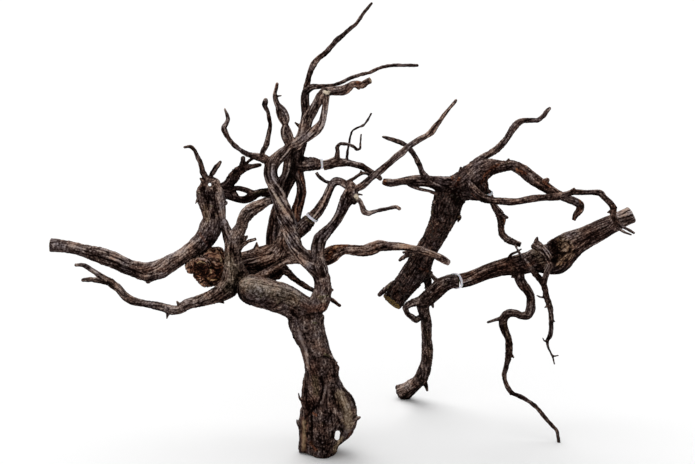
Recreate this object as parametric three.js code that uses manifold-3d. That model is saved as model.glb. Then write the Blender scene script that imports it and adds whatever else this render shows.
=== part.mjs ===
// A standing composition of driftwood, in millimetres, +Z up, origin at the centre of the stump's sawn base.
// Weathered roots and branches are stacked and tied into a tree-like form. It stands on its stump, on a leg
// and on the tip of a prop twig. Every limb is a closed solid swept along hand-surveyed stations.
import * as THREE from 'three';
import Module from 'manifold-3d';

const wasm = await Module();
wasm.setup();

// Driving dimensions
const SIGHT_DISTANCE = 2790; // from the sight point to the survey plane
const SIGHT_TILT = THREE.MathUtils.degToRad(15); // the survey looks down by this much
const SIGHT_ACROSS = 38.25; // where the line of sight meets the survey plane, from the stump centre
const SIGHT_UP = 374.85;
const GAP = 0.6; // left between pieces that touch
const TIE_WIDTH = 4; // nylon cable ties
const TIE_THICKNESS = 1.4;
const TIE_FACETS = 12;
const FLOOR_DEPTH = 60; // of the block that trims the feet level
const THIN_TOLERANCE = 3; // a station this near the line between its neighbours adds no facets
const MERGE_TOLERANCE = 0.2; // facets are joined where that moves the surface by less
const SPUR_SIDES = 4;
const PIT_SIDES = 4;

// Wood tones
const GREY = 0x5f544c;
const DARK = 0x332b27;
const PALE = 0x857a70;
const CHESTNUT = 0x6e4a30;
const NYLON = 0xe6e6ee;

// Survey

// A station is [across, up, back, radius]. Across and up are read square to the line of sight, in the plane
// through the stump's base, as the eye at the sight point sees them, and back is the true depth.
const sightY = SIGHT_UP * Math.sin(SIGHT_TILT) - SIGHT_DISTANCE * Math.cos(SIGHT_TILT);
const sightZ = SIGHT_UP * Math.cos(SIGHT_TILT) + SIGHT_DISTANCE * Math.sin(SIGHT_TILT);

function survey([across, up, back, radius]) {
  const right = across - SIGHT_ACROSS;
  const rise = up - SIGHT_UP;
  const rayY = rise * Math.sin(SIGHT_TILT) + SIGHT_DISTANCE * Math.cos(SIGHT_TILT);
  const rayZ = rise * Math.cos(SIGHT_TILT) - SIGHT_DISTANCE * Math.sin(SIGHT_TILT);
  const reach = (back - sightY) / rayY;
  return {
    centre: new THREE.Vector3(SIGHT_ACROSS + right * reach, back, sightZ + rayZ * reach),
    radius: radius * reach,
  };
}

// Solids

function toManifold(positions, triangles) {
  const mesh = new wasm.Mesh({
    numProp: 3,
    vertProperties: new Float32Array(positions),
    triVerts: new Uint32Array(triangles),
  });
  return new wasm.Manifold(mesh);
}

function toGeometry(solid) {
  const mesh = solid.getMesh();
  const geometry = new THREE.BufferGeometry();
  geometry.setAttribute('position', new THREE.BufferAttribute(new Float32Array(mesh.vertProperties), 3));
  geometry.setIndex(new THREE.BufferAttribute(new Uint32Array(mesh.triVerts), 1));
  geometry.computeVertexNormals();
  return geometry;
}

// Directions of the sections along a limb, turned as little as possible from one station to the next
function sectionFrames(points) {
  const tangents = points.map((point, i) => {
    const before = points[Math.max(i - 1, 0)].centre;
    const after = points[Math.min(i + 1, points.length - 1)].centre;
    return after.clone().sub(before).normalize();
  });
  const first = tangents[0];
  const start = Math.abs(first.x) < 0.8 ? new THREE.Vector3(1, 0, 0) : new THREE.Vector3(0, 0, 1);
  let side = start.addScaledVector(first, -start.dot(first)).normalize();
  return tangents.map((tangent) => {
    side = side.clone().addScaledVector(tangent, -side.dot(tangent)).normalize();
    return { tangent, side, other: tangent.clone().cross(side) };
  });
}

// The outline of a section: a slow wander of two and three lobes, and fins at set angles
function sectionRadius(radius, angle, travel, limb, station) {
  const lobes = limb.lobes ?? 0.1;
  const seed = limb.seed ?? 1;
  const pair = Math.cos(2 * angle + 1.7 * seed + 0.9 * travel);
  const triple = Math.cos(3 * angle + 2.3 * seed - 0.7 * travel);
  let out = radius * (1 + lobes * (0.6 * pair + 0.4 * triple));
  for (const fin of limb.fins ?? []) {
    const facing = Math.max(0, Math.cos(angle - THREE.MathUtils.degToRad(fin.angle)));
    out += fin.reach[station] * facing ** fin.sharpness;
  }
  return out;
}

// How far the ends stand out from their last section, in radii
const END_SWELL = { round: 0.45, sawn: 0, buried: 0, broken: 0.15 };

// The numbers of the stations that a run bends or swells at, its two ends included
function keyStations(points) {
  const kept = [0, points.length - 1];
  const spans = [[0, points.length - 1]];
  while (spans.length > 0) {
    const [from, to] = spans.pop();
    const start = points[from];
    const end = points[to];
    const line = new THREE.Line3(start.centre, end.centre);
    let worst = THIN_TOLERANCE + 0.04 * start.radius;
    let bend = -1;
    for (let i = from + 1; i < to; i += 1) {
      const share = line.closestPointToPointParameter(points[i].centre, true);
      const away = line.at(share, new THREE.Vector3()).distanceTo(points[i].centre);
      const off = away + Math.abs(THREE.MathUtils.lerp(start.radius, end.radius, share) - points[i].radius);
      if (off > worst) {
        worst = off;
        bend = i;
      }
    }
    if (bend > 0) {
      kept.push(bend);
      spans.push([from, bend], [bend, to]);
    }
  }
  return kept.sort((a, b) => a - b);
}

function sweep(limb, grow) {
  const points = limb.stations.map(survey);
  const frames = sectionFrames(points);
  const kept = limb.fins ? points.map((point, i) => i) : keyStations(points);
  const sides = limb.sides ?? 7;
  const fill = Math.PI / sides / Math.sin(Math.PI / sides); // makes up the width that flat sides lose
  const [startEnd, finishEnd] = limb.ends ?? ['buried', 'round'];
  const positions = [];
  const triangles = [];
  let travel = 0;
  points.forEach(({ centre, radius }, i) => {
    if (i > 0) {
      travel += centre.distanceTo(points[i - 1].centre) / Math.max(radius, points[i - 1].radius);
    }
    if (!kept.includes(i)) {
      return;
    }
    const { side, other, tangent } = frames[i];
    const endKind = i === 0 ? startEnd : finishEnd;
    const ragged = endKind === 'broken' && (i === 0 || i === points.length - 1) ? 0.3 : 0;
    for (let k = 0; k < sides; k += 1) {
      const angle = (2 * Math.PI * k) / sides;
      const reach = fill * (sectionRadius(radius, angle, travel, limb, i) + grow);
      const vertex = centre.clone();
      vertex.addScaledVector(side, reach * Math.cos(angle));
      vertex.addScaledVector(other, reach * Math.sin(angle));
      vertex.addScaledVector(tangent, ragged * radius * Math.sin(2.4 * k + 1));
      positions.push(...vertex.toArray());
    }
  });
  const last = kept.length - 1;
  const poles = [
    [points[0], frames[0], -1, END_SWELL[startEnd]],
    [points[kept[last]], frames[kept[last]], 1, END_SWELL[finishEnd]],
  ];
  for (const [point, frame, way, swell] of poles) {
    const pole = point.centre.clone().addScaledVector(frame.tangent, way * (swell * point.radius + grow));
    positions.push(...pole.toArray());
  }
  const startPole = kept.length * sides;
  for (let k = 0; k < sides; k += 1) {
    const next = (k + 1) % sides;
    triangles.push(startPole, next, k);
    triangles.push(startPole + 1, last * sides + k, last * sides + next);
    for (let i = 0; i < last; i += 1) {
      const here = i * sides;
      const there = here + sides;
      triangles.push(here + k, here + next, there + next);
      triangles.push(here + k, there + next, there + k);
    }
  }
  return toManifold(positions, triangles);
}

// A limb with its spurs and knots joined on and its pits and holes cut out
function growLimb(limb, grow = 0) {
  let solid = sweep(limb, grow);
  (limb.spurs ?? []).forEach((stations, i) => {
    const spur = { stations, sides: SPUR_SIDES, lobes: 0.06, seed: i + 1 };
    solid = solid.add(sweep(spur, grow));
  });
  if (grow === 0) {
    for (const stations of limb.pits ?? []) {
      solid = solid.subtract(sweep({ stations, sides: PIT_SIDES, ends: ['round', 'round'] }, 0));
    }
  }
  return solid;
}

function largestPart(solid) {
  const parts = solid.decompose();
  parts.sort((a, b) => b.volume() - a.volume());
  return parts[0];
}

function boxesMeet(a, b) {
  return [0, 1, 2].every((k) => a.min[k] <= b.max[k] && b.min[k] <= a.max[k]);
}

function closedSolid(geometry) {
  const spots = geometry.getAttribute('position');
  const seen = new Map();
  const positions = [];
  const lookup = [];
  for (let i = 0; i < spots.count; i += 1) {
    const spot = [spots.getX(i), spots.getY(i), spots.getZ(i)];
    const key = spot.map((value) => Math.round(value * 1e4)).join(',');
    if (!seen.has(key)) {
      seen.set(key, positions.length / 3);
      positions.push(...spot);
    }
    lookup.push(seen.get(key));
  }
  const triangles = [];
  const corners = geometry.index.array;
  for (let i = 0; i < corners.length; i += 3) {
    const triangle = [lookup[corners[i]], lookup[corners[i + 1]], lookup[corners[i + 2]]];
    if (new Set(triangle).size === 3) {
      triangles.push(...triangle);
    }
  }
  return toManifold(positions, triangles);
}

// Limbs of the trunk piece

const trunk = {
  name: 'trunk',
  tone: GREY,
  sides: 14,
  lobes: 0.1,
  seed: 2,
  ends: ['sawn', 'round'],
  fins: [
    { angle: 4, sharpness: 7, reach: [0, 2, 14, 20, 21, 17, 9, 3, 0, 0, 0, 0, 0, 0, 0, 0, 0] },
    { angle: 172, sharpness: 6, reach: [16, 15, 16, 17, 15, 12, 12, 10, 7, 2, 0, 0, 0, 0, 0, 0, 0] },
    { angle: 265, sharpness: 8, reach: [0, 2, 5, 7, 6, 6, 5, 4, 3, 2, 2, 0, 0, 0, 0, 0, 0] },
    { angle: 95, sharpness: 5, reach: [2, 5, 8, 9, 9, 7, 5, 4, 2, 0, 0, 0, 0, 0, 0, 0, 0] },
  ],
  stations: [
    [-5, 0, 0, 25], [-3, 16, 0, 27], [0, 32, 0, 29], [3, 48, 0, 30], [4, 62, 0, 30], [5, 78, 0, 30],
    [2, 95, 0, 29], [-1, 110, 0, 28], [-4, 125, 0, 27], [-7, 140, 0, 27], [-12, 157, 0, 26.5],
    [-17, 174, 0, 26], [-23, 192, 0, 26.5], [-29, 210, 0, 28], [-33, 225, 0, 30], [-34, 235, 0, 24],
    [-28, 244, 0, 15],
  ],
  spurs: [
    [[40, 54, -4, 8], [52, 57, -6, 5], [60, 60, -7, 2]],
    [[-36, 42, -4, 7], [-46, 48, -5, 3]],
    [[-42, 190, -8, 6], [-54, 197, -9, 2]],
    [[7, 142, -6, 15], [18, 142, -8, 8]],
  ],
  pits: [
    [[23, 22, -60, 3.5], [22, 29, -20, 5.5], [22, 29, 20, 5.5], [24, 34, 70, 4]],
    [[-22, 6, -34, 5], [-25, 40, -38, 6], [-22, 70, -36, 5]],
    [[-3, 128, -33, 3], [-9, 100, -37, 5], [-14, 76, -38, 4]],
    [[12, 8, -36, 4], [20, 50, -36, 6], [14, 92, -36, 4]],
    [[-22, 230, -33, 4], [-19, 240, -34, 4]],
  ],
};

const leftKnee = {
  name: 'left_knee',
  tone: PALE,
  sides: 8,
  lobes: 0.07,
  seed: 3,
  ends: ['buried', 'round'],
  stations: [
    [-33, 237, -2, 21], [-50, 249, -3, 24], [-70, 260, -6, 25.5], [-90, 266, -8, 26.5], [-108, 271, -10, 26.7],
    [-123, 276, -13, 27], [-136, 279, -16, 26.5],
  ],
};

const frontLimb = {
  name: 'front_limb',
  tone: GREY,
  sides: 7,
  seed: 4,
  ends: ['buried', 'buried'],
  stations: [
    [-12, 246, -3, 17], [-7, 260, -4, 17], [-4, 275, -5, 15.5], [-4, 288, -6, 15], [-7, 303, -7, 15.5],
  ],
  spurs: [[[4, 277, -8, 7], [13, 276, -9, 2.5]]],
};

const rightStem = {
  name: 'right_stem',
  tone: GREY,
  sides: 6,
  seed: 5,
  ends: ['buried', 'round'],
  stations: [
    [-7, 303, -7, 15], [-10, 317, -7, 13.5], [-12, 329, -7, 12], [-12, 341, -7, 11.3], [-11, 353, -6, 11],
    [-8, 364, -5, 11], [0, 373, -4, 10], [8.5, 381.5, -3, 9], [17, 391, -2, 8.6], [24, 402, -1, 8.2],
    [30, 414, 0, 9], [35, 426, 0, 10.5], [41, 437, 0, 12.5], [45, 447, 0, 11.5], [44, 455, 0, 7],
  ],
  spurs: [
    [[44, 430, -3, 8], [51, 425, -6, 4.5]],
    [[44, 436, -3, 6], [54, 434.5, -14, 5.2]],
    [[50, 440, 2, 2.2], [64, 438, 4, 1.4]],
    [[34, 430, 0, 5], [28, 434, 0, 2]],
  ],
};

const leftStem = {
  name: 'left_stem',
  tone: PALE,
  sides: 7,
  lobes: 0.14,
  seed: 6,
  ends: ['buried', 'buried'],
  stations: [
    [-8, 302, -7, 12], [-20, 318, -7, 13], [-36, 331, -5, 11.8], [-48, 346, -2, 12.5], [-54, 363, 0, 14],
    [-60, 382, 2, 13.5], [-67, 402, 4, 13], [-75, 422, 6, 12.5], [-82, 442, 8, 12], [-88, 458, 10, 11.5],
    [-92, 475, 10, 11], [-89, 490, 9, 11], [-80, 502, 6, 10.5], [-67, 512, 2, 10], [-54, 523, -2, 10],
  ],
};

const innerStrand = {
  name: 'inner_strand',
  tone: GREY,
  sides: 5,
  seed: 7,
  ends: ['buried', 'buried'],
  stations: [
    [-85, 449, 8, 6], [-76.5, 461, 8, 6], [-69, 473, 8, 5.6], [-65, 487, 8, 6.3], [-62, 500, 8, 6.5],
    [-57, 511, 7, 7], [-52, 519, 5, 7],
  ],
};

const crownBranch = {
  name: 'crown_branch',
  tone: GREY,
  sides: 6,
  seed: 8,
  ends: ['buried', 'buried'],
  stations: [
    [-50, 519, 1, 9], [-39, 540, 0, 9], [-33, 555, -3, 10], [-28, 568, -6, 8.6], [-21, 581, -9, 8.6],
    [-13.5, 594, -12, 8.6], [-5, 606, -15, 9], [2, 614, -17, 8],
  ],
  spurs: [
    [
      [-54, 523, -5, 8], [-36, 533.5, -10, 8.5], [-22, 543, -13, 8.5], [-12, 552, -15, 8],
      [-5, 562.5, -17, 6.6], [-2, 575, -19, 5.6], [0.5, 589, -20, 5.2], [2, 601, -20, 5.5],
      [3, 611, -19, 6],
    ],
    [[3, 612, -14, 6.5], [3, 612, -29, 6]],
  ],
};

const crownHook = {
  name: 'crown_hook',
  tone: GREY,
  sides: 6,
  lobes: 0.14,
  seed: 9,
  ends: ['buried', 'sawn'],
  stations: [
    [0, 614, -17, 7.5], [12, 614, -19, 7.8], [22, 614.5, -21, 8], [32, 616, -23, 8], [40, 621, -25, 7],
    [47, 626, -27, 6], [55, 626, -29, 7], [63, 625, -31, 6.3], [70, 629, -33, 5.2], [78, 633, -35, 5.2],
  ],
  spurs: [[[55, 622, -30, 4], [58, 617, -31, 1.5]]],
};

const loopStem = {
  name: 'loop_stem',
  tone: GREY,
  sides: 5,
  seed: 10,
  stations: [
    [-57, 522, 0, 7], [-59, 533, 1, 6], [-62, 545, 1, 5.5], [-67, 556, 0, 5], [-73, 566, -1, 5],
    [-78, 577, -2, 5], [-80, 588, -3, 4.8], [-84, 600, -4, 4.3], [-85, 609, -5, 3.6], [-83, 618, -6, 3.1],
    [-81, 628, -7, 2.5],
  ],
  spurs: [
    [[-60, 518, -1, 5], [-66, 527, -1, 4.2], [-71, 538, -2, 4], [-72, 548, -3, 3.8], [-69, 557, -3, 3.5]],
    [[-66, 558, -1, 3.5], [-64, 566, -2, 4], [-66, 575, -3, 4.3], [-72, 585, -4, 4], [-79, 592, -4, 3]],
    [[-84, 605, -5, 2.5], [-73, 607, -7, 1]],
  ],
};

const lowSideBranch = {
  name: 'low_side_branch',
  tone: GREY,
  sides: 5,
  seed: 11,
  stations: [
    [-86, 492, 10, 8], [-96, 496, 12, 7.7], [-106, 500, 14, 8], [-116, 503, 16, 6.7], [-125, 505, 18, 5],
    [-135, 509, 20, 4.5], [-145, 515, 22, 4], [-155, 523, 24, 4], [-163, 533, 26, 4], [-169, 543, 28, 4.5],
    [-172, 551, 30, 4.8], [-168, 559, 31, 4.2], [-165, 566, 32, 3.6], [-167, 575, 34, 2.8],
    [-171, 585, 37, 1.8],
  ],
};

const highSideBranch = {
  name: 'high_side_branch',
  tone: DARK,
  sides: 5,
  seed: 12,
  stations: [
    [-108, 501, 13, 5], [-106, 511, 10, 4.6], [-100, 522, 6, 4.5], [-97, 534, 1, 4.4], [-94.7, 546, -3, 3.7],
    [-93, 557, -7, 3.5], [-95, 568, -11, 3.5], [-97, 579, -15, 3.4], [-102, 589, -18, 4.2],
    [-101.5, 596, -20, 4.6], [-100, 600, -22, 3.4],
  ],
};

const longSwitch = {
  name: 'long_switch',
  tone: PALE,
  sides: 5,
  seed: 13,
  stations: [
    [44, 444, -2, 7], [54, 449, -3, 6], [62, 453, -4, 6], [71, 460, -5, 6], [80, 468, -6, 6],
    [89, 475, -7, 6], [99.3, 483.7, -8, 5.7], [110.4, 492.6, -9, 5.8], [121.3, 502.2, -10, 5.8], [132, 511, -11, 5.8],
    [141, 519.5, -12, 5.5], [151, 526, -13, 5], [162, 533, -14, 5], [173, 539, -15, 5.1],
    [181, 545, -16, 5.6], [187, 553, -17, 5], [194.5, 562.5, -18, 4.2], [202.5, 574, -19, 3.5],
    [212.5, 586, -20, 3], [223.5, 599.5, -22, 2.8],
  ],
};

const bentTwig = {
  name: 'bent_twig',
  tone: DARK,
  sides: 5,
  seed: 14,
  stations: [
    [36, 458, 3, 3.5], [46, 464, 5, 3], [55, 470, 7, 3], [62, 474, 8, 3], [70, 474.5, 9, 2.6],
    [77, 470, 9, 2.6], [82, 465, 8, 2.4],
  ],
  spurs: [[[62, 473, 8, 2.4], [61, 480, 8, 1.5]]],
};

const cutTwig = {
  name: 'cut_twig',
  tone: GREY,
  sides: 5,
  seed: 15,
  stations: [
    [48, 432, -2, 5], [57, 429, -6, 4.3], [63, 419, -8, 4.5], [67, 410, -9, 5.2], [73, 407, -10.5, 4.6],
    [82, 409, -12, 3.6], [92, 411.5, -14, 3.3], [102, 414, -16, 3.3], [113, 416, -18, 3.3],
    [122, 417, -20, 3.2], [128, 414, -21, 3.4],
  ],
};

// Limbs of the tied branch and the arc limb

const tiedStub = {
  name: 'tied_stub',
  tone: DARK,
  sides: 6,
  seed: 16,
  ends: ['buried', 'sawn'],
  stations: [[-57, 360, 14, 11], [-46, 374, 11, 12.6], [-34, 386, 9, 12.8], [-25.5, 395.5, 7, 11]],
};

const tiedBranch = {
  name: 'tied_branch',
  tone: GREY,
  sides: 6,
  lobes: 0.06,
  seed: 17,
  ends: ['sawn', 'buried'],
  stations: [
    [-23.5, 398, 6, 9.7], [-11, 412, 6, 9], [-3, 424, 6, 8], [3, 435.5, 6, 7.3], [8, 447, 6, 7],
    [12.5, 456, 6, 7], [18, 461, 6, 7.2], [26, 460.5, 5, 6.7], [34, 456, 4, 6.7], [42, 450, 3, 7],
  ],
};

const blackTwig = {
  name: 'black_twig',
  tone: DARK,
  sides: 5,
  seed: 18,
  ends: ['buried', 'sawn'],
  stations: [[12, 458, 9, 3], [3, 460, 10, 3], [-4, 464, 11, 3], [-11, 470, 12, 3], [-15, 476, 13, 3]],
};

const arcLimb = {
  name: 'arc_limb',
  tone: CHESTNUT,
  sides: 6,
  seed: 19,
  ends: ['buried', 'buried'],
  stations: [
    [-54, 366, 17, 8], [-51, 383, 18, 9], [-50, 398, 18, 9.5], [-48, 411, 18, 9.3], [-44, 425, 18, 8.6],
    [-41, 437, 19, 8.7], [-40, 449, 20, 8.7], [-42, 462, 22, 8], [-44, 475, 24, 7.5], [-46, 488, 24, 8],
    [-50, 500, 22, 8],
  ],
};

// Limbs of the dark back stem

const darkStem = {
  name: 'dark_stem',
  tone: DARK,
  sides: 6,
  seed: 20,
  ends: ['buried', 'buried'],
  stations: [
    [-88, 342, 46, 12], [-87, 362, 46, 14], [-84, 383, 45, 14], [-80, 402, 43, 13], [-77, 420, 40, 11],
    [-70, 440, 37, 9.3], [-63, 458, 34, 9.3], [-55, 475, 31, 10], [-50, 492, 28, 12], [-47, 510, 26, 13],
    [-39, 530, 25, 9], [-38, 546, 24, 8], [-35.5, 562, 24, 7.4], [-33, 577, 24, 7.2], [-33.5, 592, 24, 7.2],
    [-34, 604, 24, 7.2], [-33, 613, 24, 6.6],
  ],
  spurs: [[[-39, 551, 24, 4.5], [-51, 561, 24, 1.5]]],
};

const leftWhip = {
  name: 'left_whip',
  tone: DARK,
  sides: 5,
  seed: 21,
  stations: [
    [-34, 608, 24, 6], [-31, 620, 25, 5.5], [-28.5, 635, 27, 5], [-24.5, 649, 29, 5], [-19, 660, 31, 5.4],
    [-12, 669, 33, 5], [0, 679, 36, 4.5], [10, 689, 39, 4.5], [20, 701, 42, 4.5], [32, 711, 46, 4],
    [42, 720, 48, 3.5], [52, 728, 50, 3], [60, 738, 52, 3], [67, 749, 54, 2.9], [80, 764, 58, 2.3],
  ],
};

const rightWhip = {
  name: 'right_whip',
  tone: DARK,
  sides: 5,
  seed: 22,
  stations: [
    [-33, 614, 22, 6], [-22, 621, 20, 5.2], [-10, 622, 17, 4.5], [2, 623, 14, 3.6], [16, 625, 10, 3.1],
    [30, 630, 6, 3.1], [42, 636, 3, 3.2], [60, 642.3, -4, 3.1], [76, 646, -9, 3], [88, 651.7, -12, 3],
    [101, 656, -15, 3], [115, 658, -18, 3], [132, 658.3, -21, 3], [146, 658, -24, 2.8],
    [158, 658, -27, 2.4],
  ],
};

const shortStub = {
  name: 'short_stub',
  tone: DARK,
  sides: 6,
  seed: 23,
  ends: ['buried', 'round'],
  stations: [
    [-50, 490, 28, 11], [-38, 490, 25, 12.5], [-26, 490, 22, 12.3], [-16, 490, 20, 10.8],
    [-9, 489, 19, 8.5],
  ],
};

const slimBranch = {
  name: 'slim_branch',
  tone: GREY,
  sides: 5,
  seed: 24,
  ends: ['sawn', 'round'],
  stations: [
    [-3, 488, 18, 9.2], [8, 490.5, 20, 9], [18, 493.5, 22, 8.6], [28, 493, 25, 7], [38, 492.5, 28, 6],
    [50, 489.7, 32, 5.7], [62, 486.7, 37, 5.5], [72, 481, 42, 5], [80, 476, 47, 5], [88, 471, 53, 4.5],
    [95, 465, 60, 3.8],
  ],
};

const loopTwig = {
  name: 'loop_twig',
  tone: GREY,
  sides: 5,
  seed: 25,
  stations: [
    [18, 492, 22, 6.5], [20.3, 501, 21, 5.2], [21.3, 511, 20, 4], [21.3, 519.7, 19, 3.7], [26, 524.5, 17, 3],
    [34, 524.5, 16, 2.8], [43, 522.5, 14, 2.8], [50, 519, 12, 2.6], [55, 515, 11, 2.6], [59.5, 517, 10, 2.2],
    [60, 525, 9, 1.7], [61.5, 541, 7, 1.5],
  ],
};

const whipTwig = {
  name: 'whip_twig',
  tone: DARK,
  sides: 5,
  seed: 26,
  stations: [
    [37.5, 491, 28, 3.2], [37.5, 504, 30, 2.5], [38.5, 514, 32, 2.3], [41, 525, 34, 2.1],
    [43, 537, 36, 1.8], [47, 547, 38, 1.8], [55, 552, 40, 1.8], [66, 557, 42, 2], [71, 563, 43, 1.8],
    [79, 577, 47, 1.4],
  ],
};

// Limbs of the burl log

const burlLog = {
  name: 'burl_log',
  tone: CHESTNUT,
  sides: 8,
  lobes: 0.13,
  seed: 27,
  ends: ['round', 'buried'],
  stations: [
    [-228, 315, 27, 7], [-224, 317, 26, 14], [-215, 317, 25, 21], [-200, 313, 25, 28], [-186, 313, 27, 28],
    [-172, 318, 30, 22], [-156, 323, 33, 17], [-140, 323, 35, 18], [-122, 323.5, 36, 21],
    [-104, 328, 36, 21], [-87, 338, 36, 19], [-76, 350, 35, 15], [-70, 365, 33, 12],
  ],
  spurs: [
    [[-198, 294, 10, 12], [-204, 287, 10, 7], [-212, 288, 7, 2.5]],
    [[-196, 335, 24, 15], [-180, 337, 27, 13]],
    [[-222, 318, 4, 4], [-213, 327, 0, 4.5], [-202, 325, -3, 4], [-196, 317, -4, 3]],
    [[-205, 332, 4, 5], [-192, 336, 3, 5], [-180, 332, 5, 4.5], [-174, 324, 8, 3]],
    [[-198, 297, 2, 4.5], [-186, 292, 4, 5], [-174, 298, 8, 4]],
    [[-119, 338, 32, 6], [-117, 349, 31, 4.5], [-116, 357, 31, 1]],
  ],
  pits: [
    [[-214, 320, -4, 4], [-206, 313, -4, 7], [-203, 300, 2, 6], [-206, 290, 8, 3]],
    [[-178, 302, 0, 4], [-168, 304, 6, 6]],
  ],
};

const rightBranch = {
  name: 'right_branch',
  tone: CHESTNUT,
  sides: 6,
  lobes: 0.12,
  seed: 28,
  ends: ['buried', 'sawn'],
  stations: [
    [-72, 340, 36, 12], [-48, 334, 34, 12], [-24, 331, 33, 12.5], [-2, 331, 32, 14], [9, 336, 32, 15],
    [19, 341.5, 31, 13.5], [32, 345, 31, 9], [50, 343.5, 31, 8.7], [66, 343, 32, 9.5], [80, 347, 33, 11],
    [93, 352, 34, 10.5], [106, 351, 35, 8], [126, 350, 37, 6.5], [150, 347, 40, 5.9], [170, 342, 43, 6],
    [188, 334.5, 46, 6], [203, 327, 49, 6], [211, 322.5, 51, 5.2],
  ],
};

const hangingBranch = {
  name: 'hanging_branch',
  tone: DARK,
  sides: 5,
  seed: 29,
  stations: [
    [-98, 298, 26, 7], [-86, 304, 27, 11], [-74, 311, 26, 10], [-64, 306.5, 24, 7], [-55, 298, 22, 6],
    [-44, 290, 21, 5], [-33, 282.5, 20, 4.5], [-20, 275.5, 20, 4.2], [-6, 269, 19, 3.8], [8, 261.5, 18, 3.5],
    [26, 249, 16, 3],
  ],
};

const kneeRoot = {
  name: 'knee_root',
  tone: GREY,
  sides: 5,
  seed: 30,
  ends: ['buried', 'buried'],
  stations: [
    [-128, 288, 0, 8], [-113, 298, 4, 6.5], [-100, 306, 8, 6], [-86, 315, 12, 6], [-70, 324, 15, 6],
    [-54, 327.5, 18, 7.5], [-40, 328, 20, 7.5],
  ],
};

// Limbs of the lower left piece

const elbowStem = {
  name: 'elbow_stem',
  tone: PALE,
  sides: 7,
  lobes: 0.12,
  seed: 31,
  ends: ['buried', 'buried'],
  stations: [
    [-161, 288, 0, 16], [-157, 303, 1, 18], [-155, 318, 0, 16.5], [-156, 332, 0, 14],
    [-157, 345, -1, 13.5], [-155, 358, 0, 13.5], [-149, 371, 2, 12], [-142, 384, 3, 11],
    [-137.5, 397, 5, 11.2], [-130.5, 407, 7, 11.6], [-121, 415, 10, 10.4], [-110, 421, 13, 8.8],
    [-99, 427, 16, 7.6], [-84, 430, 20, 7],
  ],
  spurs: [[[-140, 360, 0, 6], [-132, 368, 0, 2]]],
};

const elbowFork = {
  name: 'elbow_fork',
  tone: DARK,
  sides: 5,
  seed: 32,
  ends: ['buried', 'buried'],
  stations: [[-160, 350, 3, 8], [-165, 363, 6, 7.5], [-168, 375, 10, 7], [-171, 388, 15, 7]],
};

const elbowTwig = {
  name: 'elbow_twig',
  tone: GREY,
  sides: 5,
  seed: 33,
  ends: ['buried', 'sawn'],
  stations: [
    [-151, 338, -6, 4], [-145, 345, -8, 3.4], [-138, 353.5, -9, 3.2], [-131, 358.5, -11, 3],
    [-124, 361, -12, 3], [-117, 363, -13, 2.6],
  ],
};

const lowBranch = {
  name: 'low_branch',
  tone: PALE,
  sides: 6,
  seed: 34,
  ends: ['buried', 'buried'],
  stations: [
    [-364, 287.5, -8, 7], [-351, 278, -8, 7.3], [-341, 266.5, -8, 7.2], [-327, 258, -8, 6.8],
    [-308, 253.5, -8, 6.4], [-290, 250, -8, 6.8], [-273, 246, -8, 7.4], [-260, 242.5, -8, 8.5],
    [-248, 243, -8, 8], [-236, 251, -8, 9], [-222, 255, -8, 9.2], [-208, 259, -8, 10.5],
    [-195, 263.5, -8, 12.5], [-181, 270, -7, 15], [-168, 278, -4, 17], [-158, 287, 0, 18],
  ],
  spurs: [
    [[-266, 240, -8, 5], [-269, 228, -8, 1.2]],
    [[-246, 248, -8, 5], [-252, 257, -8, 1.5]],
    [[-180, 260, -8, 6], [-172, 254, -8, 1.5]],
  ],
};

const lowForkUpper = {
  name: 'low_fork_upper',
  tone: GREY,
  sides: 5,
  seed: 35,
  stations: [
    [-360, 287, -8, 6.5], [-372, 293.5, -10, 5.8], [-385, 302.5, -12, 5], [-398, 311, -14, 4.2],
    [-411, 318.5, -16, 3.6], [-425, 319, -18, 2.8],
  ],
};

const lowForkLower = {
  name: 'low_fork_lower',
  tone: GREY,
  sides: 5,
  seed: 36,
  stations: [
    [-360, 288, -8, 6.5], [-375, 291.5, -6, 6], [-388, 293, -4, 5], [-401, 294, -2, 4], [-413, 293, 0, 3],
  ],
};

// Limbs of the long left arm

const leftArm = {
  name: 'left_arm',
  tone: GREY,
  sides: 6,
  seed: 37,
  ends: ['sawn', 'buried'],
  stations: [
    [-467, 353, 30, 11], [-449, 351, 29, 10.7], [-430, 348, 28, 11], [-405, 341.5, 27, 11.3],
    [-382, 335.5, 26, 13], [-360, 327.5, 25, 13.8], [-340, 317.5, 25, 14.1], [-320, 310, 24, 14.5],
    [-300, 307, 24, 15.8], [-280, 312, 24, 15.4], [-260, 323.5, 24, 14.6], [-243, 333.5, 24, 14.2],
    [-228, 343, 25, 15], [-212, 355, 25, 17],
  ],
  spurs: [[[-300, 300, 20, 10], [-301, 290, 18, 4]]],
};

const rottenUpright = {
  name: 'rotten_upright',
  tone: GREY,
  sides: 8,
  lobes: 0.12,
  seed: 38,
  ends: ['buried', 'broken'],
  stations: [
    [-216, 350, 25, 16], [-206, 361, 25, 18], [-195, 380, 25, 20.5], [-188.5, 397, 25, 19],
    [-189, 414, 25, 20], [-192, 431, 25, 21.5], [-194, 446, 25, 20], [-192, 457, 25, 16], [-188, 465, 25, 11],
  ],
  spurs: [
    [[-176, 394, 20, 10], [-168, 384, 16, 7], [-160, 379, 14, 2]],
    [[-206, 440, 20, 9], [-216, 444, 18, 5]],
    [[-210, 434, 18, 5], [-216, 431, 16, 2.5], [-220, 423, 15, 1.3]],
    [[-202, 458, 22, 7], [-212, 466, 20, 2]],
    [[-176, 426, 22, 7], [-168, 424, 21, 4]],
  ],
  pits: [
    [[-200, 420, 4, 5], [-198, 434, 3, 9], [-195, 448, 4, 8]],
    [[-196, 455.5, -20, 2.6], [-196, 455.5, 25, 3], [-196, 455.5, 70, 2.6]],
    [[-193, 396, 2, 4], [-186, 388, 1, 5]],
  ],
};

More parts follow.
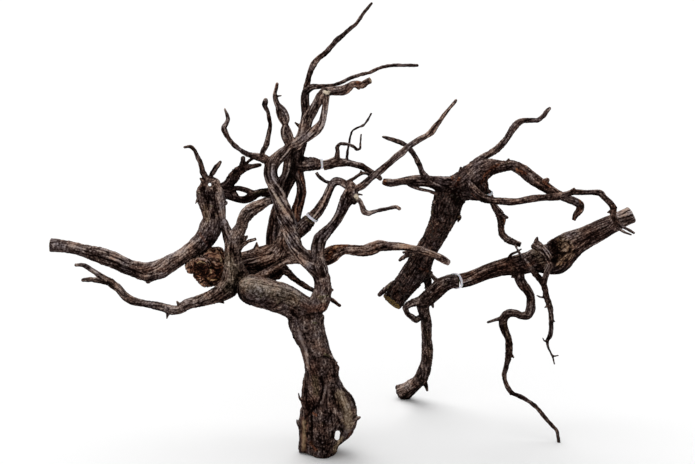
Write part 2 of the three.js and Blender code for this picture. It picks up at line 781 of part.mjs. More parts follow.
const uprightTwigLeft = {
  name: 'upright_twig_left',
  tone: DARK,
  sides: 5,
  seed: 39,
  stations: [
    [-196, 460, 22, 7], [-203, 468, 20, 5.2], [-208, 477, 18, 4.8], [-210, 487, 16, 4.5],
    [-213, 496, 14, 4], [-218, 505, 12, 3.7], [-222, 514, 10, 3.4], [-229, 520, 8, 3], [-240, 519, 6, 2.2],
  ],
};

const uprightTwigRight = {
  name: 'upright_twig_right',
  tone: DARK,
  sides: 5,
  seed: 40,
  stations: [
    [-190, 462, 24, 5], [-194, 469, 24, 3], [-190, 477, 24, 4.8], [-185, 485, 24, 4.6], [-180, 491, 24, 3.4],
    [-177, 495, 24, 2.2],
  ],
};

const bridgeLimb = {
  name: 'bridge_limb',
  tone: DARK,
  sides: 6,
  seed: 41,
  ends: ['buried', 'buried'],
  stations: [
    [-180, 446, 32, 9], [-168, 443, 33, 11], [-158, 438, 33, 10], [-148, 431, 31, 6.5], [-138, 430, 29, 6.5],
    [-126, 434, 27, 7.2], [-112, 441, 23, 7], [-100, 442, 19, 8], [-88, 444, 15, 7],
  ],
  spurs: [[[-162, 446, 32, 6], [-150, 449, 31, 4.5], [-138, 447, 30, 4.5], [-122, 441, 26, 5]]],
};

const bridgeArm = {
  name: 'bridge_arm',
  tone: DARK,
  sides: 5,
  seed: 42,
  stations: [
    [-178, 450, 32, 7], [-166, 456, 33, 8], [-157, 465, 33, 10], [-149.5, 476, 32, 8], [-140, 482.5, 31, 7],
    [-131, 485, 30, 5.3], [-120, 487, 29, 4.3], [-109, 489.5, 28, 2.6],
  ],
  spurs: [
    [[-142, 484, 31, 5], [-140, 494, 31, 4.6], [-139, 502, 31, 3.8]],
    [[-136, 487, 31, 3], [-131, 494, 30, 2.6], [-124, 499, 28, 2.6], [-113, 503, 21, 2.4]],
  ],
};

// Limbs of the right trunk

const rightTrunk = {
  name: 'right_trunk',
  tone: DARK,
  sides: 8,
  lobes: 0.07,
  seed: 43,
  ends: ['round', 'sawn'],
  stations: [
    [229, 464, 99, 13], [222, 453, 101, 20], [213, 436, 103, 24], [207, 416, 105, 23.5], [200, 396, 108, 21],
    [191, 377, 110, 19.5], [181, 358, 112, 19], [171, 340, 114, 18.5], [161, 321, 116, 20],
    [150, 304, 118, 20.7], [139, 288, 120, 19], [127, 272, 122, 17.8], [114, 255, 124, 19],
  ],
  spurs: [
    [[194, 428, 98, 8], [187, 424, 96, 4]],
    [[222, 404, 100, 6], [229, 399, 98, 3.5], [226, 393, 97, 1.5]],
    [[124, 290, 118, 6], [112, 284, 116, 5], [104, 278, 114, 4.6], [97.5, 273, 113, 4.2], [91.5, 267, 112, 3.6]],
    [[154, 334, 112, 7], [142, 336, 107, 4.5], [133, 331.5, 104, 3.6], [126, 326, 103, 2.6]],
    [[156, 342, 110, 4], [143, 342.5, 106, 2.6], [132, 340, 104, 1.6]],
    [[222, 434, 98, 14], [242, 440, 92, 11.5], [258, 437, 86, 9], [270, 434, 80, 6.5]],
    [[166, 306, 120, 9], [173.5, 295, 124, 7], [176, 281, 127, 6.6], [177, 262, 130, 5.5]],
    [[229, 470, 99, 4], [229.5, 478, 99, 2.7], [231, 485, 99, 2]],
    [[168, 300, 112, 8], [180, 305, 112, 6]],
  ],
};

const brokenArm = {
  name: 'broken_arm',
  tone: GREY,
  sides: 6,
  lobes: 0.12,
  seed: 45,
  ends: ['buried', 'broken'],
  stations: [
    [211, 453, 102, 18.5], [192, 458, 98, 13.2], [176, 461, 92, 10.3], [160, 462, 86, 9], [146, 462, 80, 8],
    [133, 461.5, 76, 6.8], [120, 459, 72, 6.6], [108, 459, 68, 6.6], [99, 460, 65, 5.3],
  ],
  spurs: [
    [
      [198, 440, 98, 4], [187, 441, 94, 3.2], [176, 445, 90, 2.8], [165, 447, 86, 2.8], [154, 450, 83, 2.9],
      [142, 456, 79, 3.2],
    ],
  ],
};

const archedTwig = {
  name: 'arched_twig',
  tone: PALE,
  sides: 5,
  seed: 46,
  stations: [
    [197, 451, 92, 7.5], [183, 459, 89, 6.8], [171, 468, 85, 6], [164.5, 478, 81, 5.1], [161, 488, 76, 4.6],
    [156, 498, 71, 4.6], [150, 508, 65, 4.5], [143, 517, 60, 4.2], [134, 524.5, 54, 4.1], [124, 528.5, 48, 4],
    [114, 532, 43, 3.8], [98, 537, 36, 2],
  ],
};

const bowedBranch = {
  name: 'bowed_branch',
  tone: GREY,
  sides: 7,
  lobes: 0.1,
  seed: 47,
  stations: [
    [228, 452, 100, 17], [243, 461, 98, 20], [256, 471, 97, 20], [268, 480, 96, 17.5], [280, 485, 94, 14.5],
    [292, 486.5, 91, 11.8], [305, 487, 87, 9.7], [319, 488, 82, 9.5], [335, 479.6, 76, 10],
    [350, 468, 70, 10.3], [365, 457.7, 64, 10.2], [378, 449.5, 59, 9.6], [390, 442, 55, 8], [402, 436, 51, 7],
    [414, 430.7, 48, 7], [426, 426.2, 45, 7.4], [434, 419.7, 43, 7.2], [432.5, 411, 41, 6], [426, 403.5, 39, 4.8],
    [422.5, 395, 37, 3.4],
  ],
  spurs: [
    [[310, 490, 84, 6], [312.5, 499, 83, 2]],
    [[372, 458, 58, 8], [379, 464, 56, 4]],
    [[264, 455, 90, 14], [270, 444, 92, 9]],
  ],
};

const wavyBranch = {
  name: 'wavy_branch',
  tone: GREY,
  sides: 5,
  seed: 48,
  stations: [
    [231, 460, 94, 7], [237, 474, 99, 7], [247, 485, 105, 7.2], [259, 494.3, 111, 6.8], [273, 503.8, 117, 6.2],
    [288.2, 512.4, 121, 6], [299.5, 523, 124, 5.8], [308.5, 533, 127, 5.7], [315.7, 544, 129, 5.7],
    [322.3, 554, 131, 6], [329, 561, 133, 5.8], [339, 564.5, 135, 4.8], [351, 564.5, 137, 4.1],
    [362, 565, 139, 4.1], [370, 571, 141, 4], [377, 580, 143, 3.6], [383, 586, 145, 3],
  ],
};

const reachingArm = {
  name: 'reaching_arm',
  tone: GREY,
  sides: 6,
  seed: 49,
  ends: ['buried', 'buried'],
  stations: [
    [243, 463, 82, 5], [254, 446, 76, 7.2], [267, 434, 71, 7.4], [284, 428.7, 66, 6.6], [305, 426.7, 60, 6],
    [325, 426.7, 55, 6], [345, 430, 50, 6], [365, 433, 46, 6], [384, 434, 42, 6], [400, 435.5, 39, 6.2],
    [411, 439, 36, 5.4], [423, 442.5, 34, 5], [441, 442, 31, 4.6], [458, 442, 28, 4.8], [468, 441, 26, 5.2],
    [475.5, 433, 24, 5.3], [484, 424.7, 22, 5.4], [490, 416, 20, 5.4], [490, 405, 18, 5.3], [492, 396, 17, 4.8],
  ],
  spurs: [
    [[419, 443, 34, 4], [424, 449, 34, 2.4]],
    [[489, 416, 19, 4.5], [495, 416, 15, 3]],
    [[487, 410, 18, 4], [480, 408, 17, 1]],
  ],
};

const forkedTip = {
  name: 'forked_tip',
  tone: DARK,
  sides: 5,
  seed: 50,
  stations: [
    [491, 399, 17, 4.6], [499, 389.5, 15, 3.6], [508, 383, 14, 2.7], [517, 378, 13, 2.4],
    [526, 373, 12, 2.2],
  ],
  spurs: [
    [
      [493, 395, 17, 4.2], [496, 385, 16, 3.8], [504, 377.5, 15, 2.3], [513, 373, 14, 1.9],
      [521, 370, 13, 1.4],
    ],
  ],
};

const hangingTwig = {
  name: 'hanging_twig',
  tone: DARK,
  sides: 5,
  seed: 51,
  ends: ['buried', 'sawn'],
  stations: [
    [276, 445, 90, 5.4], [281.5, 433, 91, 5.4], [288.5, 417.5, 92, 5.8], [296.5, 406, 93, 7],
    [300.5, 396, 94, 7.4], [299.5, 384, 94, 6], [301, 372, 94, 6], [308, 363.5, 93, 6],
    [319, 358, 92, 5.4], [333, 353, 90, 4.6],
  ],
  spurs: [[[304, 401, 93, 4.5], [311, 399, 92, 2]]],
};

// Limbs of the right log

const rightLog = {
  name: 'right_log',
  tone: GREY,
  sides: 8,
  lobes: 0.06,
  seed: 52,
  ends: ['sawn', 'sawn'],
  stations: [
    [229.5, 291, 84, 11.8], [245, 295, 83, 12.2], [260, 301, 82, 12.8], [275, 307, 80, 13.4],
    [291, 312, 78, 13.7],
    [308, 316, 75, 14.7], [325, 319, 72, 15.7], [342, 322, 70, 17.5], [358, 326, 68, 20.5],
    [376, 328.5, 66, 25.5], [390, 331, 64, 30], [405, 343, 62, 28],
    [417, 352.5, 60, 24.8], [430, 359.5, 57.5, 21.3], [443, 366, 55, 18.8], [464.5, 376.7, 51, 17.2],
    [485, 387, 48, 16], [500, 394.5, 45, 15], [521, 404, 42, 15],
  ],
  spurs: [
    [[392, 352, 48, 10], [396, 366, 50, 3]],
    [[312, 326, 68, 4], [316, 336, 66, 2.4], [326, 341, 62, 2], [334, 346, 58, 1.3]],
  ],
};

const propTwig = {
  name: 'prop_twig',
  tone: GREY,
  sides: 6,
  seed: 53,
  ends: ['buried', 'buried'],
  stations: [
    [325, 322, 64, 9], [331, 309, 69, 8.7], [330.5, 297, 73, 8.5], [335.5, 286.5, 76, 8.2], [344, 276.5, 78, 7.8],
    [349.5, 266, 78, 7.7], [350, 254.5, 76, 7.6], [349, 243, 72, 7.8], [344.5, 234, 68, 7.4],
    [334, 232.5, 66, 6.6], [323.5, 236.5, 66, 6.8], [312, 236.5, 68, 7.4], [304.5, 229.5, 71, 7.5],
    [303, 218.5, 73, 7], [306, 207, 74, 6.6], [311, 195, 74, 6.4], [313, 182, 73, 6.1],
  ],
  spurs: [
    [[322, 300, 72, 4], [317, 298, 71, 1.5]],
    [[302, 228, 71, 4.5], [291, 226, 68, 2.8], [282, 223, 66, 2.6], [276, 221, 65, 2]],
  ],
};

const propTip = {
  name: 'prop_tip',
  tone: DARK,
  sides: 5,
  seed: 54,
  ends: ['buried', 'sawn'],
  stations: [
    [312.5, 186, 73, 6], [313, 171, 72, 6], [311, 158, 71, 5.3], [308, 146, 70, 4.6], [305, 134, 69, 4.1],
    [306.5, 121, 68, 4], [311, 110, 67, 4], [319, 101, 66, 3.9], [330, 96, 64, 3.7], [345, 88, 61, 3.5],
    [358, 78, 58, 3.5], [368, 67, 56, 3.5], [377, 56, 54, 3.4], [386, 46, 52, 3.2], [394.5, 36.5, 50, 3.1],
    [396, 28, 48, 2.8], [398, 16, 46, 3],
  ],
  spurs: [
    [[315, 168, 72, 4], [321, 161, 71, 1.4]],
    [[315, 104, 66, 3], [315.5, 98, 66, 1.4]],
  ],
};

const dropTwig = {
  name: 'drop_twig',
  tone: DARK,
  sides: 5,
  seed: 55,
  stations: [
    [323, 353, 66, 1.7], [329, 342, 60, 2], [338, 328, 52, 3.5], [350, 313, 48, 5], [360, 301, 45, 5.7],
    [369, 290, 45, 5.2], [374, 279, 46, 5.4], [376, 267, 47, 5.4], [380, 255, 48, 5], [383.5, 242, 48, 4.8],
    [384.5, 228, 48, 4.2], [384.5, 213, 48, 4.1], [383, 200, 47, 4], [378.5, 190, 46, 3],
    [379, 181, 45, 2], [383, 171, 44, 1.9], [387, 163, 43, 1.7], [390, 150, 42, 1.1],
  ],
  spurs: [
    [[374, 264, 47, 3], [367, 264, 45, 1.8], [360, 267, 43, 1]],
    [[377, 189, 46, 2], [373, 190, 45, 1.5], [370, 195, 44, 0.9]],
    [[387, 164, 43, 1.6], [391, 164, 42, 1.3], [397, 165, 41, 1]],
    [[386, 226, 47, 2.5], [391, 222, 46, 1]],
  ],
};

const hookStrand = {
  name: 'hook_strand',
  tone: GREY,
  sides: 5,
  seed: 56,
  ends: ['broken', 'buried'],
  stations: [
    [355, 355.5, 50, 8.6], [363, 349.5, 46, 9.4], [372, 341, 40, 8], [380, 330, 34, 6.5], [383.5, 319, 33, 5.6],
    [378.5, 309, 35, 5.6], [375, 299, 39, 5], [372, 287, 45, 5],
  ],
  spurs: [[[359, 358, 48, 5], [361, 366, 48, 1.8]]],
};

// Limbs of the leg piece

const leg = {
  name: 'leg',
  tone: GREY,
  sides: 7,
  lobes: 0.08,
  seed: 57,
  ends: ['sawn', 'broken'],
  stations: [
    [227.5, 291, 84, 11.5], [215, 290.5, 86, 12.4], [203.5, 286.5, 89, 13], [192.5, 278.5, 94, 13],
    [181, 268.5, 101, 13], [169.5, 257, 109, 12.2], [167, 245, 118, 10.5], [170, 233, 127, 9.4],
    [172, 221, 137, 9], [173, 207, 148, 8.8], [173, 193, 160, 8.9], [173.5, 179, 173, 9.5],
    [173.5, 165, 186, 9.8], [172, 151, 199, 10.2],
    [168.5, 138, 213, 10.8], [163, 126.5, 228, 11.3], [154.5, 117.5, 241, 11.6], [145, 110, 251, 12],
    [134, 104, 259, 13], [128, 102, 263, 13],
  ],
  spurs: [
    [[176, 258, 106, 6], [181, 254, 104, 4], [184, 246, 103, 1.5]],
    [[168, 121, 232, 6], [172, 113, 234, 3.5], [174, 105, 235, 2]],
    [[194, 288, 92, 5], [185, 297, 104, 3.5], [178, 304, 112, 3.5]],
  ],
};

const legLoop = {
  name: 'leg_loop',
  tone: GREY,
  sides: 5,
  seed: 58,
  ends: ['buried', 'buried'],
  stations: [
    [170, 258, 104, 9], [158, 256, 104, 7.6], [146.5, 253, 106, 6.4], [137, 246.5, 109, 5.4],
    [140.5, 236.5, 113, 4.8], [148.5, 230, 118, 4.8], [155, 225.5, 122, 5], [162, 230, 123, 5],
    [169, 231, 122, 5],
  ],
};

// A limb is listed after the limbs that it grows from or leans on, and is cut back where it meets them
const limbs = [
  trunk, leftKnee, frontLimb, rightStem, leftStem, innerStrand, crownBranch, crownHook, loopStem,
  lowSideBranch, highSideBranch, longSwitch, bentTwig, cutTwig, tiedStub, tiedBranch, blackTwig, arcLimb,
  darkStem, leftWhip, rightWhip, shortStub, slimBranch, loopTwig, whipTwig, elbowStem, lowBranch,
  lowForkUpper, lowForkLower, burlLog, rightBranch, hangingBranch, kneeRoot, rottenUpright, leftArm,
  elbowFork, elbowTwig, uprightTwigLeft, uprightTwigRight, bridgeLimb, bridgeArm, rightTrunk,
  bowedBranch, brokenArm, archedTwig, wavyBranch, reachingArm, forkedTip, rightLog, leg, legLoop,
  propTwig, propTip, hookStrand, dropTwig, hangingTwig,
];

// Cable ties: a band around a limb, lying in the plane through its centre and square to its axis, with its lock
// at the back
const ties = [
  { name: 'lower_tie', at: [-22, 400.5, 6.5, 11.8], towards: [-12, 413, 6, 9] },
  { name: 'upper_tie', at: [-5.5, 489, 18.5, 10.8], towards: [8, 490, 20, 8] },
  { name: 'log_tie', at: [222, 290.5, 86, 15.4], towards: [235, 293, 95, 13] },
  { name: 'crown_tie', at: [279, 440, 90, 7.6], towards: [284, 428, 91, 5] },
];

function tieBand({ at, towards }) {
  const { centre, radius } = survey(at);
  const axis = survey(towards).centre.sub(centre).normalize();
  const outer = radius + TIE_THICKNESS;
  const inner = radius;
  const half = TIE_WIDTH / 2;
  const profile = [[inner, -half], [outer, -half], [outer, half], [inner, half], [inner, -half]];
  const ring = new THREE.LatheGeometry(profile.map(([x, y]) => new THREE.Vector2(x, y)), TIE_FACETS);
  const lock = new THREE.BoxGeometry(5, TIE_WIDTH + 1.2, 4);
  lock.translate(0, 0, -outer - 1);
  const front = new THREE.Vector3(0, -1, 0).addScaledVector(axis, axis.y).normalize();
  const turn = new THREE.Matrix4().makeBasis(axis.clone().cross(front), axis, front);
  for (const shape of [ring, lock]) {
    shape.applyMatrix4(turn);
    shape.translate(centre.x, centre.y, centre.z);
  }
  return closedSolid(ring).add(closedSolid(lock));
}

// Assembly

const driftwood = new THREE.Group();
const laid = [];

function lay(name, tone, solid, grown, roughness) {
  let rest = solid;
  for (const other of laid) {
    if (boxesMeet(rest.boundingBox(), other.grown.boundingBox())) {
      rest = rest.subtract(other.grown);
    }
  }
  const part = largestPart(rest.simplify(MERGE_TOLERANCE));
  laid.push({ name, grown });
  const material = new THREE.MeshStandardMaterial({ color: tone, roughness, metalness: 0 });
  const mesh = new THREE.Mesh(toGeometry(part), material);
  mesh.name = name;
  driftwood.add(mesh);
}

const floorBlock = new THREE.BoxGeometry(1400, 1400, FLOOR_DEPTH);
floorBlock.translate(0, 0, -FLOOR_DEPTH / 2);
const floor = closedSolid(floorBlock);

for (const limb of limbs) {
  lay(limb.name, limb.tone, growLimb(limb).subtract(floor), growLimb(limb, GAP), 0.85);
}
for (const tie of ties) {
  const band = tieBand(tie);
  lay(tie.name, NYLON, band, band, 0.4);
}

export default driftwood;
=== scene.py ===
"""Driftwood: weathered roots and branches tied into a tree-like form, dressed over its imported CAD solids."""

import math
from typing import NamedTuple

import bmesh
import bpy
import numpy as np
from bpy.props import FloatProperty, FloatVectorProperty, IntProperty, PointerProperty
from mathutils import Matrix, Vector
from mathutils.geometry import convex_hull_2d


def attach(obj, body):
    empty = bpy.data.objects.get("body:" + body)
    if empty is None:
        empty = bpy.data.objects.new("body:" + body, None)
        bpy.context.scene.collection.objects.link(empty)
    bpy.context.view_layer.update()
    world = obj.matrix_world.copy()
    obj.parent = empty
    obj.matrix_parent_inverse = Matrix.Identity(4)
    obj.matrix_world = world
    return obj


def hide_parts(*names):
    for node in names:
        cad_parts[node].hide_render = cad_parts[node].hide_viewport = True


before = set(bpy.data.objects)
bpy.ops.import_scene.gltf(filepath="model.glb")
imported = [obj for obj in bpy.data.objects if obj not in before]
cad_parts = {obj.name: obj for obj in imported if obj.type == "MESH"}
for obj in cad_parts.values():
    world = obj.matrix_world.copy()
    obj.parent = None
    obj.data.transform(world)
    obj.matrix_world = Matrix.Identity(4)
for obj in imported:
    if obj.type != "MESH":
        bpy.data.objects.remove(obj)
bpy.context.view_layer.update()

bl_info = {
    "name": "Driftwood",
    "version": (1, 0, 0),
    "blender": (4, 5, 0),
    "location": "3D View > Sidebar > Driftwood",
    "description": "Grows a tied driftwood composition over its CAD solids",
    "category": "Object",
}

MM = 0.001

# Survey, in millimetres: a station is (across, up, back, radius). Across and up are read square to the line
# of sight in the plane through the stump's base, as the eye sees them, and back is the true depth.
SIGHT_DISTANCE = 2790.0
SIGHT_TILT = math.radians(15)
SIGHT_ACROSS = 38.25  # where the line of sight meets that plane
SIGHT_UP = 374.85
SIGHT_FORWARD = np.array([0, math.cos(SIGHT_TILT), -math.sin(SIGHT_TILT)])
SIGHT_RISE = np.array([0, math.sin(SIGHT_TILT), math.cos(SIGHT_TILT)])
EYE = np.array([SIGHT_ACROSS, 0, 0]) + SIGHT_RISE * SIGHT_UP - SIGHT_FORWARD * SIGHT_DISTANCE


class Limb(NamedTuple):
    """A limb as surveyed, and the finish of its wood."""

    seed: int
    look: str  # its relief
    lighter: float  # added to its tone
    chestnut: float  # how much bared heartwood shows
    stations: list
    lobes: float = 0.1  # height of the slow lobes round its section, as a share of the radius
    ends: tuple = ("round", "round")  # or sawn, or broken
    leans: tuple = ()  # slanting cuts: the end, and the way the cut faces (right, rise, forward)
    fins: tuple = ()  # ridges along it: the angle in degrees, how sharp, and the height at each station
    spurs: tuple = ()  # the stations of each
    pits: tuple = ()  # the stations of each
    start: tuple = ()  # another relief that it starts with, and how far that runs in millimetres


LIMBS = {}
LIMBS["trunk"] = Limb(2, "mottled", 0.01, 0.03, [
    (-5, 0, 0, 25), (-3, 16, 0, 27), (0, 32, 0, 29), (3, 48, 0, 30), (4, 62, 0, 30), (5, 78, 0, 30),
    (2, 95, 0, 29), (-1, 110, 0, 28), (-4, 125, 0, 27), (-7, 140, 0, 27), (-12, 157, 0, 26.5),
    (-17, 174, 0, 26), (-23, 192, 0, 26.5), (-29, 210, 0, 28), (-33, 225, 0, 30), (-34, 235, 0, 24),
    (-28, 244, 0, 15),
], fins=[
    (4, 7, (0, 2, 14, 20, 21, 17, 9, 3, 0, 0, 0, 0, 0, 0, 0, 0, 0)),
    (172, 6, (16, 15, 16, 17, 15, 12, 12, 10, 7, 2, 0, 0, 0, 0, 0, 0, 0)),
    (265, 8, (0, 2, 5, 7, 6, 6, 5, 4, 3, 2, 2, 0, 0, 0, 0, 0, 0)),
    (95, 5, (2, 5, 8, 9, 9, 7, 5, 4, 2, 0, 0, 0, 0, 0, 0, 0, 0)),
], spurs=[
    [(40, 54, -4, 8), (52, 57, -6, 5), (60, 60, -7, 2)],
    [(-36, 42, -4, 7), (-45, 48, -5, 3), (-48, 56, -5, 1.2)],
    [(-33, 88, -4, 6), (-42, 91, -5, 2.4), (-45, 101, -5, 1)], [(-38, 8, -4, 6), (-42, 1, -4, 3)],
    [(30, 92, -6, 7), (38, 95, -7, 3), (42, 92, -7, 2)], [(14, 150, -6, 8), (20, 153, -8, 2)],
    [(-42, 190, -8, 6), (-54, 197, -9, 2)], [(7, 142, -6, 15), (18, 142, -8, 8)],
    [(-24, 226, -2, 19), (-20, 238, -3, 16), (-16, 248, -3, 14)],
], pits=[
    [(20.4, 25.3, -60, 4.2), (20.4, 25.3, -20, 4.4), (20.4, 25.3, 20, 4.4), (20.4, 25.3, 70, 4.2)],
    [(-22, 6, -34, 5), (-25, 40, -38, 6), (-22, 70, -36, 5)],
    [(-3, 128, -33, 3), (-9, 100, -37, 5), (-14, 76, -38, 4)],
    [(12, 8, -36, 4), (20, 50, -36, 6), (14, 92, -36, 4)], [(-22, 230, -33, 4), (-19, 240, -34, 4)],
    [(21.6, 33, -60, 4.2), (21.6, 33, -20, 4.5), (21.6, 33, 20, 4.5), (21.6, 33, 70, 4.2)],
    [(21, 29.2, -60, 4.2), (21, 29.2, -20, 4.5), (21, 29.2, 20, 4.5), (21, 29.2, 70, 4.2)],
], ends=("sawn", "round"))
LIMBS["left_knee"] = Limb(3, "mottled", 0.08, 0.06, [
    (-33, 237, -2, 21), (-50, 249, -3, 24), (-70, 260, -6, 25.5), (-90, 266, -8, 26.5),
    (-108, 271, -10, 26.7), (-123, 276, -13, 27), (-136, 279, -16, 26.5),
], lobes=0.07)
LIMBS["front_limb"] = Limb(4, "mottled", 0.07, 0.1, [
    (-14, 246, -3, 16), (-8, 260, -4, 16.5), (-4, 275, -5, 15.5), (-4, 288, -6, 15), (-7, 303, -7, 15.5),
], spurs=[[(4, 277, -8, 7), (13, 276, -9, 2.5)]])
LIMBS["right_stem"] = Limb(5, "bare", 0.04, 0.02, [
    (-7, 303, -7, 15), (-10, 317, -7, 13.5), (-12, 329, -7, 12), (-12, 341, -7, 11.3), (-11, 353, -6, 11),
    (-8, 364, -5, 11), (0, 373, -4, 10), (8.5, 381.5, -3, 9), (17, 391, -2, 8.6), (24, 402, -1, 8.2),
    (30, 414, 0, 9), (35, 426, 0, 10.5), (41, 437, 0, 12.5), (45, 447, 0, 11.5), (44, 455, 0, 7),
], spurs=[
    [(44, 430, -3, 8), (51, 425, -6, 4.5)], [(44, 436, -3, 6), (54, 434.5, -14, 5.2)],
    [(50, 440, 2, 2.2), (64, 438, 4, 1.4)], [(34, 430, 0, 5), (28, 434, 0, 2)],
])
LIMBS["left_stem"] = Limb(6, "twisted", 0.24, 0.02, [
    (-8, 302, -7, 12), (-20, 318, -7, 13), (-36, 331, -5, 11.8), (-48, 346, -2, 12.5), (-54, 363, 0, 14),
    (-60, 382, 2, 13.5), (-67, 402, 4, 13), (-75, 422, 6, 12.5), (-82, 442, 8, 12), (-88, 458, 10, 11.5),
    (-92, 475, 10, 11), (-89, 490, 9, 11), (-80, 502, 6, 10.5), (-67, 512, 2, 10), (-54, 523, -2, 10),
], lobes=0.14)
LIMBS["inner_strand"] = Limb(7, "bare", 0.0, 0.02, [
    (-85, 449, 8, 6), (-76.5, 461, 8, 6), (-69, 473, 8, 5.6), (-65, 487, 8, 6.3), (-62, 500, 8, 6.5),
    (-57, 511, 7, 7), (-52, 519, 5, 7),
])
LIMBS["crown_branch"] = Limb(8, "twisted", 0.23, 0.03, [
    (-50, 519, 1, 9), (-39, 540, 0, 9), (-33, 555, -3, 10), (-28, 568, -6, 8.6), (-21, 581, -9, 8.6),
    (-13.5, 594, -12, 8.6), (-5, 606, -15, 9), (2, 614, -17, 8),
], spurs=[
    [(-54, 523, -5, 8), (-36, 533.5, -10, 8.5), (-22, 543, -13, 8.5), (-12, 552, -15, 8),
    (-5, 562.5, -17, 6.6), (-2, 575, -19, 5.6), (0.5, 589, -20, 5.2), (2, 601, -20, 5.5), (3, 611, -19, 6)],
    [(3, 612, -14, 6.5), (3, 612, -29, 6)],
])
LIMBS["crown_hook"] = Limb(9, "twisted", 0.14, 0.12, [
    (0, 614, -17, 7.5), (12, 614, -19, 7.8), (22, 614.5, -21, 8), (32, 616, -23, 8), (40, 621, -25, 7),
    (47, 626, -27, 6), (55, 626, -29, 7), (63, 625, -31, 6.3), (70, 629, -33, 5.2), (78, 633, -35, 5.2),
], spurs=[[(55, 622, -30, 4), (58, 617, -31, 1.5)]], lobes=0.14, ends=("round", "sawn"))
LIMBS["loop_stem"] = Limb(10, "bare", 0.12, 0.02, [
    (-57, 522, 0, 7), (-59, 533, 1, 6), (-62, 545, 1, 5.5), (-67, 556, 0, 5), (-73, 566, -1, 5),
    (-78, 577, -2, 5), (-80, 588, -3, 4.8), (-84, 600, -4, 4.3), (-85, 609, -5, 3.6), (-83, 618, -6, 3.1),
    (-81, 628, -7, 2.5),
], spurs=[
    [(-60, 518, -1, 5), (-66, 527, -1, 4.2), (-71, 538, -2, 4), (-72, 548, -3, 3.8), (-69, 557, -3, 3.5)],
    [(-66, 558, -1, 3.5), (-64, 566, -2, 4), (-66, 575, -3, 4.3), (-72, 585, -4, 4), (-79, 592, -4, 3)],
    [(-84, 605, -5, 2.5), (-73, 607, -7, 1)],
])
LIMBS["low_side_branch"] = Limb(11, "twig", 0.06, 0.02, [
    (-86, 492, 10, 8), (-96, 496, 12, 7.7), (-106, 500, 14, 8), (-116, 503, 16, 6.7), (-125, 505, 18, 5),
    (-135, 509, 20, 4.5), (-145, 515, 22, 4), (-155, 523, 24, 4), (-163, 533, 26, 4), (-169, 543, 28, 4.5),
    (-172, 551, 30, 4.8), (-168, 559, 31, 4.2), (-165, 566, 32, 3.6), (-167, 575, 34, 2.8),
    (-171, 585, 37, 1.8),
])
LIMBS["high_side_branch"] = Limb(12, "twig", 0.02, 0.04, [
    (-108, 501, 13, 5), (-106, 511, 10, 4.6), (-100, 522, 6, 4.5), (-97, 534, 1, 4.4), (-94.7, 546, -3, 3.7),
    (-93, 557, -7, 3.5), (-95, 568, -11, 3.5), (-97, 579, -15, 3.4), (-102, 589, -18, 4.2),
    (-101.5, 596, -20, 4.6), (-100, 600, -22, 3.4),
])
LIMBS["long_switch"] = Limb(13, "bare", 0.1, 0.02, [
    (44, 444, -2, 7), (54, 449, -3, 6), (62, 453, -4, 6), (71, 460, -5, 6), (80, 468, -6, 6),
    (89, 475, -7, 6), (99.3, 483.7, -8, 5.7), (110.4, 492.6, -9, 5.8), (121.3, 502.2, -10, 5.8),
    (132, 511, -11, 5.8), (141, 519.5, -12, 5.5), (151, 526, -13, 5), (162, 533, -14, 5),
    (173, 539, -15, 5.1), (181, 545, -16, 5.6), (187, 553, -17, 5), (194.5, 562.5, -18, 4.2),
    (202.5, 574, -19, 3.5), (212.5, 586, -20, 3), (223.5, 599.5, -22, 2.8),
])
LIMBS["bent_twig"] = Limb(14, "twig", -0.12, 0.0, [
    (36, 458, 3, 3.5), (46, 464, 5, 3), (55, 470, 7, 3), (62, 474, 8, 3), (70, 474.5, 9, 2.6),
    (77, 470, 9, 2.6), (82, 465, 8, 2.4),
], spurs=[[(62, 473, 8, 2.4), (61, 480, 8, 1.5)]])
LIMBS["cut_twig"] = Limb(15, "twig", 0.04, 0.04, [
    (48, 432, -2, 5), (57, 429, -6, 4.3), (63, 419, -8, 4.5), (67, 410, -9, 5.2), (73, 407, -10.5, 4.6),
    (82, 409, -12, 3.6), (92, 411.5, -14, 3.3), (102, 414, -16, 3.3), (113, 416, -18, 3.3),
    (122, 417, -20, 3.2), (128, 414, -21, 3.4),
])
LIMBS["tied_stub"] = Limb(16, "bark", -0.08, 0.02, [
    (-57, 360, 14, 11), (-46, 374, 11, 12.6), (-34, 386, 9, 12.8), (-25.5, 395.5, 7, 11),
], ends=("round", "sawn"))
LIMBS["tied_branch"] = Limb(17, "bare", 0.08, 0.02, [
    (-23.5, 398, 6, 9.7), (-11, 412, 6, 9), (-3, 424, 6, 8), (3, 435.5, 6, 7.3), (8, 447, 6, 7),
    (12.5, 456, 6, 7), (18, 461, 6, 7.2), (26, 460.5, 5, 6.7), (34, 456, 4, 6.7), (42, 450, 3, 7),
], lobes=0.06, ends=("sawn", "round"))
LIMBS["black_twig"] = Limb(18, "twig", -0.25, 0.0, [
    (12, 458, 9, 3), (3, 460, 10, 3), (-4, 464, 11, 3), (-11, 470, 12, 3), (-15, 476, 13, 3),
], ends=("round", "sawn"))
LIMBS["arc_limb"] = Limb(19, "bare", 0.0, 0.22, [
    (-54, 366, 17, 8), (-51, 383, 18, 9), (-50, 398, 18, 9.5), (-48, 411, 18, 9.3), (-44, 425, 18, 8.6),
    (-41, 437, 19, 8.7), (-40, 449, 20, 8.7), (-42, 462, 22, 8), (-44, 475, 24, 7.5), (-46, 488, 24, 8),
    (-50, 500, 22, 8),
])
